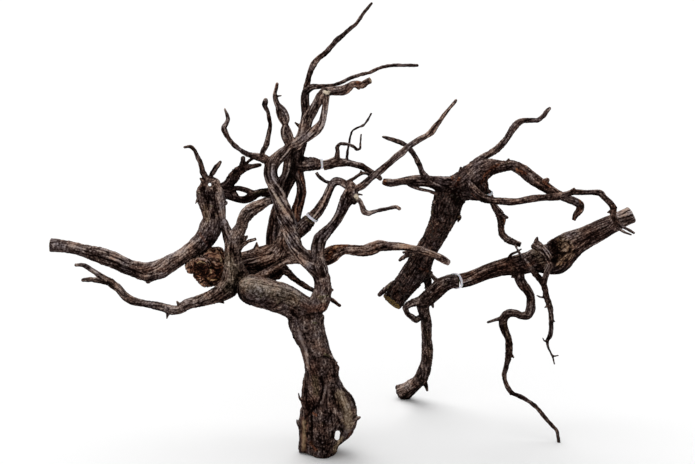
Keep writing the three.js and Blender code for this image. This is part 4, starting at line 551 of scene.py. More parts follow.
# Hollows, dented in and painted dark as shade. The curved row round (-147, 283) is the shadow at the rim of
# the knee's end, and the last row is the shade beside the through hole, both painted.
MARKS["trunk_wood", "shaded_hollow"] = [
    (7, 0.6, (-57, 239), (-51, 234)),
    (5, 0.75, (-6, 129), (-3, 109), (-7, 92), (-14, 79), (-25, 69), (-31, 61)),
    (6, 0.7, (-27, 86), (-27, 75)), (6, 0.9, (-24, 62), (-23, 35), (-23, 14)),
    (5, 0.9, (-128, 304), (-140, 302), (-147, 295), (-149, 283), (-147, 269), (-140, 256), (-124, 249)),
    (5, 0.8, (0, 619), (4, 617)), (4, 0.6, (25, 43), (31, 36)), (5, 0.9, (13, 34), (13.5, 25)),
]
MARKS["trunk_wood", "rust"] = [
    (9, 0.4, (-28, 240), (0, 245)), (20, 0.25, (-20, 149), (-17, 126), (-14, 103), (-21, 86)),
    (9, 0.4, (-37, 58), (-38, 27), (-37, 4)), (7, 0.5, (-31, 64), (-31, 33), (-33, 2)),
    (5, 0.9, (-24, 69), (-14, 63)), (8, 0.9, (-25, 16), (-15, 4)), (5, 0.7, (45, 35), (37, 24)),
    (14, 0.3, (-38, 251), (-25, 244), (0, 249)), (7, 0.9, (55, 630), (58, 628)),
    (5, 0.5, (-83, 627), (-82, 622)),
]
MARKS["trunk_wood", "yellow"] = [
    (24, 0.55, (25, 98), (33, 80), (40, 64), (40, 48)), (10, 0.7, (28, 24), (20, 13), (17, 4)),
    (8, 0.35, (-13, 266), (-1, 257)), (8, 0.3, (-28, 566), (-26, 562)), (8, 0.3, (-86, 440), (-70, 412)),
    (9, 0.7, (-35, 54), (-36, 6)),
]
MARKS["trunk_wood", "lichen"] = [
    (4, 0.9, (-20, 221), (-15, 220)), (4, 0.8, (-1, 167), (7, 164)), (36, 0.22, (-140, 288), (-52, 262)),
    (6, 0.6, (-8, 264), (5, 267)), (14, 0.4, (-17, 126), (-14, 100)),
]
MARKS["trunk_wood", "cream"] = [(10, 1.0, (1, 613), (4, 613)), (11, 1.0, (53, 435), (54, 434))]
MARKS["trunk_wood", "rough"] = [
    (30, 1.0, (1, 60), (1, 4)), (12, 0.8, (8, 52), (22, 48)), (10, 0.5, (-34, 100), (-33, 80)),
]
MARKS["trunk_wood", "smooth"] = [
    (24, 0.5, (28, 96), (38, 66), (36, 42)), (18, 0.6, (2, 108), (0, 80)), (10, 0.8, (-44, 206), (-29, 150)),
    (12, 0.6, (-37, 56), (-36, 4)),
]
MARKS["low_left_wood", "pale"] = [
    (4, 0.5, (-166, 332), (-163, 315), (-161, 298), (-164, 293)),
    (5, 0.4, (-161, 378), (-157, 364), (-149, 344), (-147, 330)),
    (4, 0.5, (-142, 325), (-135, 310), (-131, 303)),
    (4, 0.4, (-144, 404), (-133, 418), (-110, 424), (-91, 429)),
    (3, 0.5, (-314, 259), (-272, 249), (-246, 246)), (4, 0.5, (-238, 255), (-204, 263), (-178, 276)),
    (3, 0.4, (-404, 318), (-386, 301)),
]
MARKS["low_left_wood", "dark"] = [
    (3, 0.6, (-169, 373), (-164, 356), (-154, 339), (-149, 322)),
    (3, 0.5, (-139, 395), (-127, 412), (-102, 421)), (2.5, 0.6, (-230, 249), (-187, 263)),
    # The row round (-150, 284) is the shadow of the knee's end, painted on the elbow behind it
    (9, 1.0, (-141, 306), (-149, 300), (-153, 284), (-151, 268), (-143, 256)),
    (3, 0.5, (-370, 290), (-345, 268)),
]
MARKS["low_left_wood", "lichen"] = [(26, 0.25, (-165, 330), (-150, 300), (-165, 280))]
MARKS["left_arm_wood", "pale"] = [
    (3, 0.4, (-450, 355), (-391, 342), (-336, 319), (-298, 300)),
    (4, 0.35, (-378, 348), (-331, 325), (-293, 321), (-246, 340), (-221, 357)),
    (6, 0.3, (-310, 297), (-299, 292)),
    (13, 0.9, (-182, 463), (-178, 443), (-176, 419), (-172, 395), (-165, 382)),
    (5, 0.4, (-204, 463), (-194, 465), (-184, 463)), (4, 0.4, (-214, 446), (-212, 432)),
    (3, 0.5, (-201, 445), (-199, 429)), (5, 0.3, (-235, 341), (-211, 368)),
]
MARKS["left_arm_wood", "dark"] = [
    (2.5, 0.6, (-412, 344), (-348, 319), (-306, 302)), (3, 0.5, (-298, 302), (-263, 314), (-229, 340)),
    (4, 0.8, (-189, 450), (-187, 419)), (16, 0.5, (-204, 446), (-200, 426)),
    (5, 0.9, (-173, 385), (-160, 378)), (3, 0.5, (-440, 347), (-400, 335), (-365, 322)),
]
MARKS["left_arm_wood", "shaded_hollow"] = [
    (6, 0.8, (-207, 450), (-204, 433), (-192, 429)), (8, 0.7, (-191, 403), (-189, 399)),
]
MARKS["left_arm_wood", "rust"] = [
    (7, 0.4, (-213, 372), (-203, 358), (-193, 346)), (10, 0.2, (-330, 315), (-270, 310)),
]
MARKS["left_arm_wood", "yellow"] = [(12, 0.35, (-204, 416), (-199, 395))]
MARKS["burl_wood", "pale"] = [
    (6, 0.65, (-132, 327), (-110, 332), (-91, 334), (-67, 337)),
    (5, 0.6, (-125, 322), (-101, 325), (-81, 330)),
    (4, 0.4, (-140, 337), (-110, 344), (-91, 354), (-76, 371)),
    (4, 0.6, (-101, 303), (-86, 313), (-72, 322), (-52, 330)),
    (4, 0.9, (-220, 315), (-217, 322), (-210, 323), (-204, 321)), (3, 0.6, (-214, 328), (-207, 328)),
    (3, 1.0, (-195, 314), (-194, 307)), (3.5, 0.9, (-200, 296), (-190, 293), (-180, 295), (-173, 297)),
    (3.5, 0.9, (-177, 331), (-176, 324)), (3, 0.8, (-173, 305), (-164, 309)),
    (3, 0.7, (-184, 304), (-176, 302)), (2.5, 0.5, (-200, 344), (-190, 337), (-178, 336)),
    (2.5, 0.5, (-198, 336), (-186, 330)), (2.5, 0.7, (-71, 379), (-80, 369), (-88, 358), (-99, 349)),
    (2.5, 0.6, (-72, 352), (-66, 344), (-52, 332)), (8, 0.35, (125, 353), (153, 350), (176, 343), (193, 333)),
    (5, 0.5, (79, 356), (96, 360)),
]
MARKS["burl_wood", "dark"] = [
    (3, 0.9, (-140, 330), (-120, 332), (-91, 339)), (4, 0.9, (-140, 319), (-110, 322), (-91, 327)),
    (8, 0.8, (-140, 310), (-101, 315), (-76, 325)), (10, 0.7, (-91, 300), (-76, 305)),
    (46, 0.7, (-212, 312), (-185, 306)), (26, 0.6, (-204, 348), (-178, 336)),
    (5, 1.0, (-191, 316), (-189, 312)), (6, 1.0, (-195, 304), (-190, 301)),
    (5, 0.9, (-198, 325), (-182, 320), (-172, 314)), (4, 0.9, (-186, 311), (-178, 306), (-170, 300)),
    (4, 0.9, (-206, 293), (-195, 288), (-180, 288)), (3, 0.8, (-214, 312), (-208, 300)),
    (3, 0.8, (-219, 312), (-213, 300)), (3, 0.8, (-226, 330), (-222, 318), (-226, 308)),
    (5, 0.4, (88, 344), (99, 350)), (4, 0.7, (192, 330), (195, 327)), (3, 0.5, (-198, 288), (-180, 287)),
]
MARKS["burl_wood", "shaded_hollow"] = [(9, 0.7, (-215, 314), (-208, 302)), (6, 0.9, (-193, 314), (-183, 310))]
MARKS["burl_wood", "rust"] = [
    (6, 0.7, (-220, 315), (-217, 322), (-210, 325), (-204, 321)),
    (7, 1.0, (-200, 296), (-188, 293), (-178, 296), (-174, 300)),
    (5, 0.8, (-186, 305), (-174, 305), (-166, 308)), (5, 0.6, (-232, 325), (-227, 332), (-220, 333)),
    (5, 0.5, (-232, 315), (-225, 308), (-220, 300)), (5, 0.6, (-210, 287), (-203, 283), (-195, 282)),
    (48, 0.7, (-215, 310), (-185, 305)), (26, 0.6, (-202, 345), (-176, 335)),
    (12, 0.9, (6, 332), (11, 344), (21, 353), (33, 353)), (5, 0.7, (20, 252), (26, 249)),
]
MARKS["burl_wood", "yellow"] = [
    (13, 0.12, (125, 352), (153, 348), (176, 341), (193, 331)),
    (4, 1.0, (-218, 319), (-216, 323), (-210, 325), (-204, 321)), (4, 1.0, (-195, 315), (-194, 306)),
    (4, 1.0, (-178, 331), (-176, 324)), (4, 0.8, (-174, 305), (-164, 309)),
    (5, 0.6, (-199, 296), (-190, 293), (-180, 295)),
]
MARKS["burl_wood", "rough"] = [(20, 0.9, (0, 334), (12, 340), (30, 350)), (40, 0.5, (-214, 312), (-184, 306))]
MARKS["dark_stem_wood", "rust"] = [
    (12, 0.5, (-52, 412), (-45, 395), (-47, 372)),
    (5, 0.5, (-45, 480), (-34, 452), (-37, 429), (-48, 407), (-48, 390)), (7, 0.8, (-50, 426), (-54, 415)),
    (5, 0.8, (-18, 480), (-2, 480)), (8, 0.25, (-88, 412), (-92, 360)),
]
MARKS["dark_stem_wood", "pale"] = [
    (6, 0.35, (-44, 455), (-42, 435)), (2, 0.5, (-24, 640), (-5, 672), (15, 705)),
    (4, 0.8, (-16, 480), (-3, 480)),
]
MARKS["slim_branch_wood", "pale"] = [(3, 0.4, (-3, 489), (14, 494), (37, 493))]
MARKS["slim_branch_wood", "rust"] = [(4, 0.7, (-14, 480), (3, 480))]
MARKS["tied_branch_wood", "pale"] = [
    (4, 0.5, (8, 452), (-3, 426), (-17, 409)), (3, 0.4, (14, 463), (25, 466), (40, 455)),
]
MARKS["tied_branch_wood", "dark"] = [(3, 0.6, (17, 455), (6, 429), (-8, 409))]
MARKS["tied_branch_wood", "rust"] = [(8, 0.25, (10, 450), (-12, 412))]
MARKS["bridge_wood", "lichen"] = [(6, 0.4, (-120, 440), (-100, 445))]
MARKS["right_trunk_wood", "rust"] = [
    (6, 1.0, (214, 472), (217, 465)), (6, 1.0, (228, 466), (224, 455)), (8, 0.9, (97, 466), (103, 457)),
    (5, 0.7, (161, 313), (184, 305)), (6, 0.9, (266, 458), (272, 472), (283, 483), (295, 489)),
    (5, 0.6, (272, 446), (278, 466)), (8, 1.0, (326, 480), (340, 474)), (6, 0.9, (372, 460), (380, 452)),
    (8, 0.9, (434, 429), (441, 425)), (8, 0.5, (428, 415), (433, 412)), (4, 0.7, (422, 395), (424, 398)),
    (4, 0.7, (493, 416), (494, 413)), (30, 0.15, (190, 386), (165, 345)), (3, 0.5, (246, 443), (261, 429)),
]
MARKS["right_trunk_wood", "pale"] = [
    (14, 0.3, (190, 386), (198, 378)), (8, 0.3, (249, 472), (266, 486), (283, 494)),
    (3, 0.6, (236, 466), (252, 486), (266, 497)), (3, 0.6, (244, 458), (261, 438), (278, 431), (295, 429)),
    (3, 0.35, (125, 469), (153, 470), (167, 469)), (3, 0.4, (156, 497), (164, 480), (181, 460), (193, 452)),
    (2.5, 0.7, (142, 452), (161, 448), (190, 439)), (4, 0.5, (501, 380), (518, 371)),
]
# Shade painted under the right side of the crown, which is also dented in
MARKS["right_trunk_wood", "shaded_hollow"] = [(22, 0.7, (221, 440), (229, 424))]
MARKS["right_trunk_wood", "yellow"] = [(4, 0.8, (226, 401), (228, 400)), (7, 0.8, (436, 430), (441, 427))]
MARKS["right_trunk_wood", "lichen"] = [
    (3, 0.6, (184, 412), (156, 356)), (3, 0.6, (110, 288), (101, 265)), (8, 0.5, (216, 438), (228, 428)),
]
# Pale strips. Some rows are painted highlights: those on the hook strand between (357, 361) and (384, 322),
# the lit top of the prop from (297, 234) to (344, 234), and its thin tip from (323, 98) to (395, 34).
MARKS["right_log_wood", "pale"] = [
    (42, 1.0, (497, 394), (524, 407)), (4, 0.4, (428, 380), (456, 387), (484, 398)),
    (3, 0.4, (433, 370), (470, 384), (487, 391)),
    (4, 0.4, (399, 356), (405, 361), (416, 361), (421, 353), (415, 344), (405, 344), (401, 351)),
    (3, 0.8, (403, 349), (407, 354), (412, 352), (413, 347), (408, 345)), (26, 0.2, (400, 354), (416, 342)),
    (5, 0.8, (394, 319), (399, 324), (402, 322)), (4, 0.4, (405, 313), (422, 319)),
    (4, 0.4, (357, 361), (371, 353), (381, 339), (384, 324), (377, 313), (371, 302)),
    (4, 1.0, (373, 313), (380, 322), (384, 322)), (3, 0.8, (371, 296), (375, 310)),
    (4, 0.5, (263, 313), (272, 310)), (4, 0.3, (329, 319), (331, 290), (351, 268), (348, 234)),
    (3, 0.4, (297, 234), (314, 238), (344, 234)), (2, 0.6, (323, 98), (370, 59), (395, 34)),
]
MARKS["right_log_wood", "dark"] = [
    (1.6, 0.6, (494, 395), (516, 405)), (1.6, 0.6, (497, 388), (521, 398)),
    (1.6, 0.5, (500, 382), (523, 391)), (2, 0.6, (431, 374), (470, 390), (484, 395)),
    (3, 0.5, (428, 356), (456, 367), (484, 382)), (5, 0.8, (395, 350), (397, 339), (411, 339), (425, 344)),
    (3, 0.8, (400, 347), (402, 357), (413, 359), (419, 350), (413, 340), (402, 341)),
    (3, 0.7, (407, 349), (410, 348)), (5, 0.6, (391, 305), (411, 307), (425, 324)),
    (5, 0.7, (388, 364), (399, 353)),
]
MARKS["right_log_wood", "shaded_hollow"] = [(13, 1.0, (387, 357), (393, 342), (391, 328))]
MARKS["right_log_wood", "rust"] = [
    (50, 0.25, (400, 342), (410, 336)), (10, 0.4, (340, 316), (354, 322)), (24, 0.2, (235, 300), (320, 318)),
    (5, 0.6, (395, 320), (402, 322)),
]
MARKS["right_log_wood", "yellow"] = [
    (4, 0.35, (399, 356), (405, 361), (416, 361), (421, 353), (415, 344), (405, 344), (401, 351)),
    (16, 0.35, (356, 342), (370, 322)), (28, 0.45, (403, 354), (414, 340), (400, 326)),
    (5, 0.4, (304, 221), (310, 200)),
]
MARKS["leg_wood", "pale"] = [
    (4, 0.35, (164, 217), (168, 174), (164, 140)), (26, 0.5, (127, 104), (152, 120)),
    (6, 0.3, (195, 285), (178, 263)),
]
MARKS["leg_wood", "dark"] = [(3, 0.7, (132, 98), (157, 110))]
MARKS["leg_wood", "yellow"] = [
    (6, 0.25, (170, 229), (174, 191), (178, 161)), (8, 0.35, (156, 227), (159, 226)),
]
MARKS["hanging_twig_wood", "rust"] = [(5, 0.8, (303, 396), (306, 393))]
# In turn: worn ridges, and some painted highlights; grooves and darker wood, and some painted shadows;
# hollows, dented in and painted dark as shade; heartwood, sapwood, lichen, broken fibre, gnarled and worn wood
MARK_KINDS = ("pale", "dark", "shaded_hollow", "rust", "yellow", "lichen", "cream", "rough", "smooth")

# Pits that pass right through: the limb and the number of the pit
THROUGH_HOLES = {("trunk", 0), ("trunk", 5), ("trunk", 6), ("rotten_upright", 1)}

# Where each tie sits, the way its axis points, the limbs that it holds, and its nylon
WHITE_NYLON = ("Natural nylon", "#ececf2")
LILAC_NYLON = ("Lilac-white nylon", "#dad8e4")
TIES = [
    ("lower_tie", (-22, 400.5, 6.5, 11.8), (-12, 413, 6, 9), ("tied_stub", "tied_branch"), LILAC_NYLON),
    ("upper_tie", (-5.5, 489, 18.5, 10.8), (8, 490, 20, 8), ("short_stub", "slim_branch"), WHITE_NYLON),
    ("log_tie", (222, 290.5, 86, 15.4), (235, 293, 95, 13), ("leg", "right_log"), WHITE_NYLON),
    ("crown_tie", (279, 440, 90, 7.6), (284, 428, 91, 5), ("hanging_twig",), WHITE_NYLON),
]
TIE_SLACK = 0.8  # between a strap and the swept wood, so that the wood's relief doesn't come through

# How fresh a sawn face looks, where it isn't old and grey
FRESH_CUTS = {"right_trunk": 1.0, "left_arm": 0.6, "cut_twig": 0.6}
OLD_CUT = 0.25

FLAKED = "right_trunk_wood"  # the piece that sheds bark flakes
FLAKE_FLOOR = 6.0  # no flakes lie lower than this
SAMPLE_STEP = 1.2  # between the samples along a strand
THINNEST = 0.8  # radius of a strand
ROUND_STOP = 0.55  # how far before its last station a rounded end's samples stop, as a share of the radius
CUT_REACH = 2.2  # how far a sawn or broken end's plane rules, in radii
FACET = 2.2  # width of a facet of a rough tube
FILLET_SHARE = 0.13  # of the blend between limbs, as a share of the radius
SETTLE_LIMIT = 3  # of a point's move in one round
FAR = 1e3  # further than anything is from anything
START_BLEND = 14  # half the length over which one relief gives way to another


def linear(code):
    """An sRGB hex colour as linear red, green, blue and alpha."""
    channels = [int(code[i : i + 2], 16) / 255 for i in (1, 3, 5)]
    return [c / 12.92 if c <= 0.04045 else ((c + 0.055) / 1.055) ** 2.4 for c in channels] + [1.0]


# Noise

_chooser = np.random.default_rng(11)
SLOPES = _chooser.normal(size=(256, 3))
SLOPES /= np.linalg.norm(SLOPES, axis=1)[:, None]
SHUFFLE = _chooser.permutation(256)


def noise(points, seed=0):
    """Smooth noise between about -1 and 1, one wave to a unit."""
    cell = np.floor(points).astype(np.int64)
    part = points - cell
    fade = part**3 * (part * (part * 6 - 15) + 10)
    total = np.zeros(len(points))
    for corner in range(8):
        offset = np.array([corner & 1, corner >> 1 & 1, corner >> 2 & 1])
        where = cell + offset
        pick = SHUFFLE[(where[:, 0] + 37 * seed) & 255]
        pick = SHUFFLE[(pick + where[:, 1]) & 255]
        pick = SHUFFLE[(pick + where[:, 2]) & 255]
        weight = np.where(offset, fade, 1 - fade).prod(axis=1)
        total += weight * ((part - offset) * SLOPES[pick]).sum(axis=1)
    return total * 1.7


def smooth_step(low, high, value):
    share = np.clip((value - low) / (high - low), 0, 1)
    return share * share * (3 - 2 * share)


# Strands: limbs and spurs as close samples along their axes, in millimetres


def surveyed(stations):
    """True places and radii of stations."""
    across, up, back, radius = np.array(stations, float).T
    rays = np.outer(up - SIGHT_UP, SIGHT_RISE) + SIGHT_FORWARD * SIGHT_DISTANCE
    rays[:, 0] = across - SIGHT_ACROSS
    reach = (back - EYE[1]) / rays[:, 1]
    return EYE + rays * reach[:, None], radius * reach


def sighted(points):
    """Across, up and distance of points, as the eye sees them."""
    away = points - EYE
    depth = away @ SIGHT_FORWARD
    across = SIGHT_ACROSS + away[:, 0] * SIGHT_DISTANCE / depth
    up = SIGHT_UP + away @ SIGHT_RISE * SIGHT_DISTANCE / depth
    return across, up, depth


def flowing(knots, values, places):
    """A smooth curve through values at knots, read at places."""
    gaps = np.diff(knots)[:, None]
    slopes = np.diff(values, axis=0) / gaps
    inner = (slopes[:-1] * gaps[1:] + slopes[1:] * gaps[:-1]) / (gaps[1:] + gaps[:-1])
    bends = np.vstack([slopes[:1], inner, slopes[-1:]])
    at = np.clip(np.searchsorted(knots, places, side="right") - 1, 0, len(knots) - 2)
    gap = gaps[at]
    t = ((places - knots[at]) / gap[:, 0])[:, None]
    start = (1 + 2 * t) * (1 - t) ** 2 * values[at] + t * (1 - t) ** 2 * gap * bends[at]
    return start + t * t * (3 - 2 * t) * values[at + 1] + t * t * (t - 1) * gap * bends[at + 1]


class Strand:
    """A limb, spur, pit or hole: samples of its centre, radius and directions."""

    def __init__(self, stations, name, seed, lobes=0.1, ends=("round", "round"), fins=(), leans=()):
        centres, radii = surveyed(stations)
        knots = np.concatenate([[0], np.cumsum(np.linalg.norm(np.diff(centres, axis=0), axis=1))])
        travel = np.concatenate([[0], np.cumsum(np.diff(knots) / np.maximum(radii[1:], radii[:-1]))])
        start, finish = 0.0, knots[-1]
        if ends[0] == "round":
            start += ROUND_STOP * radii[0]
        if ends[1] == "round":
            finish -= ROUND_STOP * radii[-1]
        if finish - start < 1:
            start, finish = 0.3 * knots[-1], 0.7 * knots[-1]
        self.along = np.linspace(start, finish, max(3, int((finish - start) / SAMPLE_STEP) + 1))
        curve = flowing(knots, np.column_stack([centres, radii]), self.along)
        self.centres = curve[:, :3]
        self.radii = np.maximum(curve[:, 3], THINNEST)
        self.travel = np.interp(self.along, knots, travel)
        self.fins = []
        for angle, sharp, heights in fins:
            self.fins.append((math.radians(angle), sharp, np.interp(self.along, knots, heights)))
        self.tangents = np.gradient(self.centres, axis=0)
        self.tangents /= np.linalg.norm(self.tangents, axis=1)[:, None]
        self.name, self.seed, self.lobes, self.ends = name, seed, lobes, ends
        self.outward = [-self.tangents[0], self.tangents[-1]]
        self.facings = list(self.outward)
        for end, (right, rise, forward) in leans:
            facing = np.array([right, 0, 0]) + rise * SIGHT_RISE + forward * SIGHT_FORWARD
            self.facings[end] = facing / np.linalg.norm(facing)
        side = np.array([1.0, 0, 0]) if abs(self.tangents[0][0]) < 0.8 else np.array([0, 0, 1.0])
        sides = []
        for tangent in self.tangents:
            side = side - tangent * (side @ tangent)
            side = side / np.linalg.norm(side)
            sides.append(side)
        self.sides = np.array(sides)
        self.others = np.cross(self.tangents, self.sides)
        widest = self.radii.max() * 1.25 + max([height.max() for _, _, height in self.fins], default=0)
        self.low = self.centres.min(axis=0) - widest - 5
        self.high = self.centres.max(axis=0) + widest + 5

    def section(self, angle, at, radius):
        """Distance of the surface from the axis: two and three slow lobes, and fins at set angles."""
        travel = self.travel[at]
        pair = np.cos(2 * angle + 1.7 * self.seed + 0.9 * travel)
        triple = np.cos(3 * angle + 2.3 * self.seed - 0.7 * travel)
        out = radius * (1 + self.lobes * (0.6 * pair + 0.4 * triple))
        for facing, sharp, height in self.fins:
            out = out + height[at] * np.maximum(0, np.cos(angle - facing)) ** sharp
        return out

    def tube(self):
        """A closed tube along the strand: points and faces."""
        count = int(np.clip(2 * math.pi * self.radii.max() / FACET, 10, 40))
        angles = np.arange(count) * 2 * math.pi / count
        rows = np.arange(len(self.along))
        at = np.repeat(rows, count)
        angle = np.tile(angles, len(rows))
        reach = self.section(angle, at, np.maximum(self.radii[at], 1.5))
        points = self.centres[at] + reach[:, None] * (
            np.cos(angle)[:, None] * self.sides[at] + np.sin(angle)[:, None] * self.others[at]
        )
        # Sawn and broken ends lie in their own plane
        for end, row in ((0, 0), (1, len(rows) - 1)):
            if self.ends[end] in ("sawn", "broken"):
                facing, outward = self.facings[end], self.outward[end]
                past = (points - self.centres[row]) @ facing / (outward @ facing)
                slid = (at == row) | ((past > 0) & (np.abs(at - row) < CUT_REACH * self.radii[row]))
                points = points - np.where(slid, past, 0)[:, None] * outward
        faces = []
        for k in range(count):
            after = (k + 1) % count
            for here in range(0, len(points) - count, count):
                faces.append((here + k, here + after, here + count + after, here + count + k))
        # A rounded end has one more ring before its pole
        extra = []
        base = len(points)
        for row, way, end, edge in ((0, -1, self.ends[0], 0), (-1, 1, self.ends[1], base - count)):
            bulge = 0.2
            if end == "round":
                bulge = self.radii[row]
                ring = self.centres[row] + way * 0.7 * bulge * self.tangents[row]
                extra.extend(ring + 0.72 * (points[edge : edge + count] - self.centres[row]))
                for k in range(count):
                    after = (k + 1) % count
                    quad = (edge + k, edge + after, base + after, base + k)
                    faces.append(quad if way > 0 else quad[::-1])
                edge = base
                base += count
            extra.append(self.centres[row] + way * bulge * self.tangents[row])
            for k in range(count):
                after = (k + 1) % count
                tri = (edge + k, edge + after, base)
                faces.append(tri if way > 0 else tri[::-1])
            base += 1
        return np.vstack([points, np.array(extra)]), faces

    def reach(self, points):
        """Which points lie near the strand, how far outside it they are, the way out, and where on it."""
        near = np.flatnonzero(((points > self.low) & (points < self.high)).all(axis=1))
        spots = points[near]
        middle = self.centres.mean(axis=0)
        samples = self.centres - middle
        sizes = (samples**2).sum(axis=1)
        at = np.empty(len(near), int)
        for first in range(0, len(near), 8192):
            some = spots[first : first + 8192] - middle
            at[first : first + 8192] = np.argmin(sizes - 2 * some @ samples.T, axis=1)
        offset = spots - self.centres[at]
        slide = (offset * self.tangents[at]).sum(axis=1)
        radial = offset - slide[:, None] * self.tangents[at]
        distance = np.linalg.norm(radial, axis=1)
        out = radial / np.maximum(distance, 1e-6)[:, None]
        angle = np.arctan2((radial * self.others[at]).sum(axis=1), (radial * self.sides[at]).sum(axis=1))
        last = len(self.along) - 1
        steady = np.clip(slide, -0.7, 0.7)
        slope = np.gradient(self.radii, self.along)
        surface = self.section(angle, at, self.radii[at] + slope[at] * steady)
        away = distance - surface
        direction = out.copy()
        cut = np.zeros(len(near))
        for end, row in ((0, 0), (1, last)):
            kind, facing = self.ends[end], self.facings[end]
            if kind == "round":
                over = slide * (1 if end else -1)
                tip = (at == row) & (over > 0)
                size = surface[tip] / np.maximum(self.radii[row], 1e-6)
                away[tip] = np.hypot(distance[tip] / np.maximum(size, 0.3), over[tip]) - self.radii[row]
                direction[tip] = offset[tip] / np.maximum(np.linalg.norm(offset[tip], axis=1), 1e-6)[:, None]
                continue
            tip = np.abs(at - row) < CUT_REACH * self.radii[row]
            axial, lateral = (spots[tip] - self.centres[row]) @ facing, away[tip]
            if kind == "broken":
                axial = axial + 0.3 * self.radii[row] * noise(spots[tip] / (0.3 * self.radii[row]), self.seed)
            mix = np.maximum(lateral, 0)[:, None] * out[tip] + np.maximum(axial, 0)[:, None] * facing
            within = (lateral <= 0) & (axial <= 0)
            mix[within] = np.where((axial > lateral)[within, None], facing, out[tip][within])
            outside = np.hypot(np.maximum(axial, 0), np.maximum(lateral, 0))
            away[tip] = np.where(within, np.maximum(axial, lateral), outside)
            direction[tip] = mix / np.maximum(np.linalg.norm(mix, axis=1), 1e-6)[:, None]
            if kind == "sawn":
                cut[tip] = (axial > np.maximum(lateral, -0.9)) & (lateral < -0.3)
        place = self.along[at] + steady
        return near, away, direction, angle, place, surface, cut


def strand_of(name):
    limb = LIMBS[name]
    return Strand(limb.stations, name, limb.seed, limb.lobes, limb.ends, limb.fins, limb.leans)


def strands_of(piece):
    """The strands of a piece, those that pit it, and those that pass right through."""
    grown, pits, holes = [], [], []
    for name in PIECES[piece][2]:
        limb = LIMBS[name]
        grown.append(strand_of(name))
        for count, spur in enumerate(limb.spurs):
            grown.append(Strand(spur, name, count + 1, lobes=0.06))
        for count, pit in enumerate(limb.pits):
            group = holes if (name, count) in THROUGH_HOLES else pits
            group.append(Strand(pit, name, count + 1))
    return grown, pits, holes


def new_object(name, mesh):
    piece = bpy.data.objects.new(name, mesh)
    bpy.context.scene.collection.objects.link(piece)
    return piece


def tube_object(name, strands):
    """The plain tubes of some strands as one object, in metres."""
    points, faces, count = [], [], 0
    for strand in strands:
        some, shell = strand.tube()
        points.append(some * MM)
        faces.extend(tuple(i + count for i in face) for face in shell)
        count += len(some)
    mesh = bpy.data.meshes.new(name)
    mesh.from_pydata(np.vstack(points), [], faces)
    return new_object(name, mesh)


def evaluated_mesh(piece):
    """The mesh of an object with its modifiers applied."""
    graph = bpy.context.evaluated_depsgraph_get()
    return bpy.data.meshes.new_from_object(piece.evaluated_get(graph), depsgraph=graph)


def add_remesh(piece, name, spacing):
    """One even skin round all that the object holds."""
    remesh = piece.modifiers.new(name, "REMESH")
    remesh.mode, remesh.voxel_size, remesh.adaptivity = "VOXEL", spacing * MM, 0


def skin(name, grown, holes, spacing):
    """One closed skin round the strands, with the holes cut through it."""
    rough = tube_object(name + "_tubes", grown)
    tools = [rough]
    add_remesh(rough, "Join", spacing)
    if holes:
        drill = tube_object(name + "_drill", holes)
        tools.append(drill)
        add_remesh(drill, "Join", spacing)
        cut = rough.modifiers.new("Cut", "BOOLEAN")
        cut.operation, cut.object, cut.solver = "DIFFERENCE", drill, "EXACT"
        add_remesh(rough, "Even", spacing)
    mesh = evaluated_mesh(rough)
    for tool in tools:
        old = tool.data
        bpy.data.objects.remove(tool)
        bpy.data.meshes.remove(old)
    mesh.name = name
    return mesh


def vertex_normals(points, quads):
    """Area-weighted normals of a quad mesh."""
    across = points[quads[:, 2]] - points[quads[:, 0]]
    down = points[quads[:, 3]] - points[quads[:, 1]]
    face = np.cross(across, down)
    total = np.zeros_like(points)
    for axis in range(3):
        weights = np.repeat(face[:, axis], 4)
        total[:, axis] = np.bincount(quads.ravel(), weights, len(points))
    return total / np.maximum(np.linalg.norm(total, axis=1), 1e-9)[:, None]


def joined(points, strands):
    """How far points lie outside the smooth union of strands, the way out, and each strand's own reading."""
    readings = [strand.reach(points) for strand in strands]
    nearest = np.full(len(points), FAR)
    size = np.ones(len(points))
    for near, away, _, _, _, surface, _ in readings:
        better = away < nearest[near]
        nearest[near[better]] = away[better]
        size[near[better]] = surface[better]
    fillet = np.clip(FILLET_SHARE * size, 0.5, 3.2)
    total = np.zeros(len(points))
    way = np.zeros_like(points)
    weights = []
    for near, away, direction, *_ in readings:
        weight = np.exp(-np.clip((away - nearest[near]) / fillet[near], 0, 50))
        total[near] += weight
        way[near] += weight[:, None] * direction
        weights.append(weight)
    distance = nearest - fillet * np.log(np.maximum(total, 1e-9))
    way /= np.maximum(np.linalg.norm(way, axis=1), 1e-9)[:, None]
    weights = [weight / total[reading[0]] for weight, reading in zip(weights, readings)]
    return distance, way, readings, weights


def settle(points, strands, holes):
    """Moves points onto the smooth union of the strands, or onto the wall of a hole where that is nearer."""
    for _ in range(3):
        distance, way = joined(points, strands)[:2]
        shift = -np.clip(distance, -SETTLE_LIMIT, SETTLE_LIMIT)[:, None] * way
        beside = np.full(len(points), FAR)
        out = np.zeros_like(points)
        for hole in holes:
            near, away, direction, *_ = hole.reach(points)
            nearer = away < beside[near]
            beside[near[nearer]] = away[nearer]
            out[near[nearer]] = direction[nearer]
        wall = (np.abs(beside) < np.abs(distance)) | (beside < -0.5)
        shift[wall] = -np.clip(beside[wall], -SETTLE_LIMIT, SETTLE_LIMIT)[:, None] * out[wall]
        points = points + shift
    return points


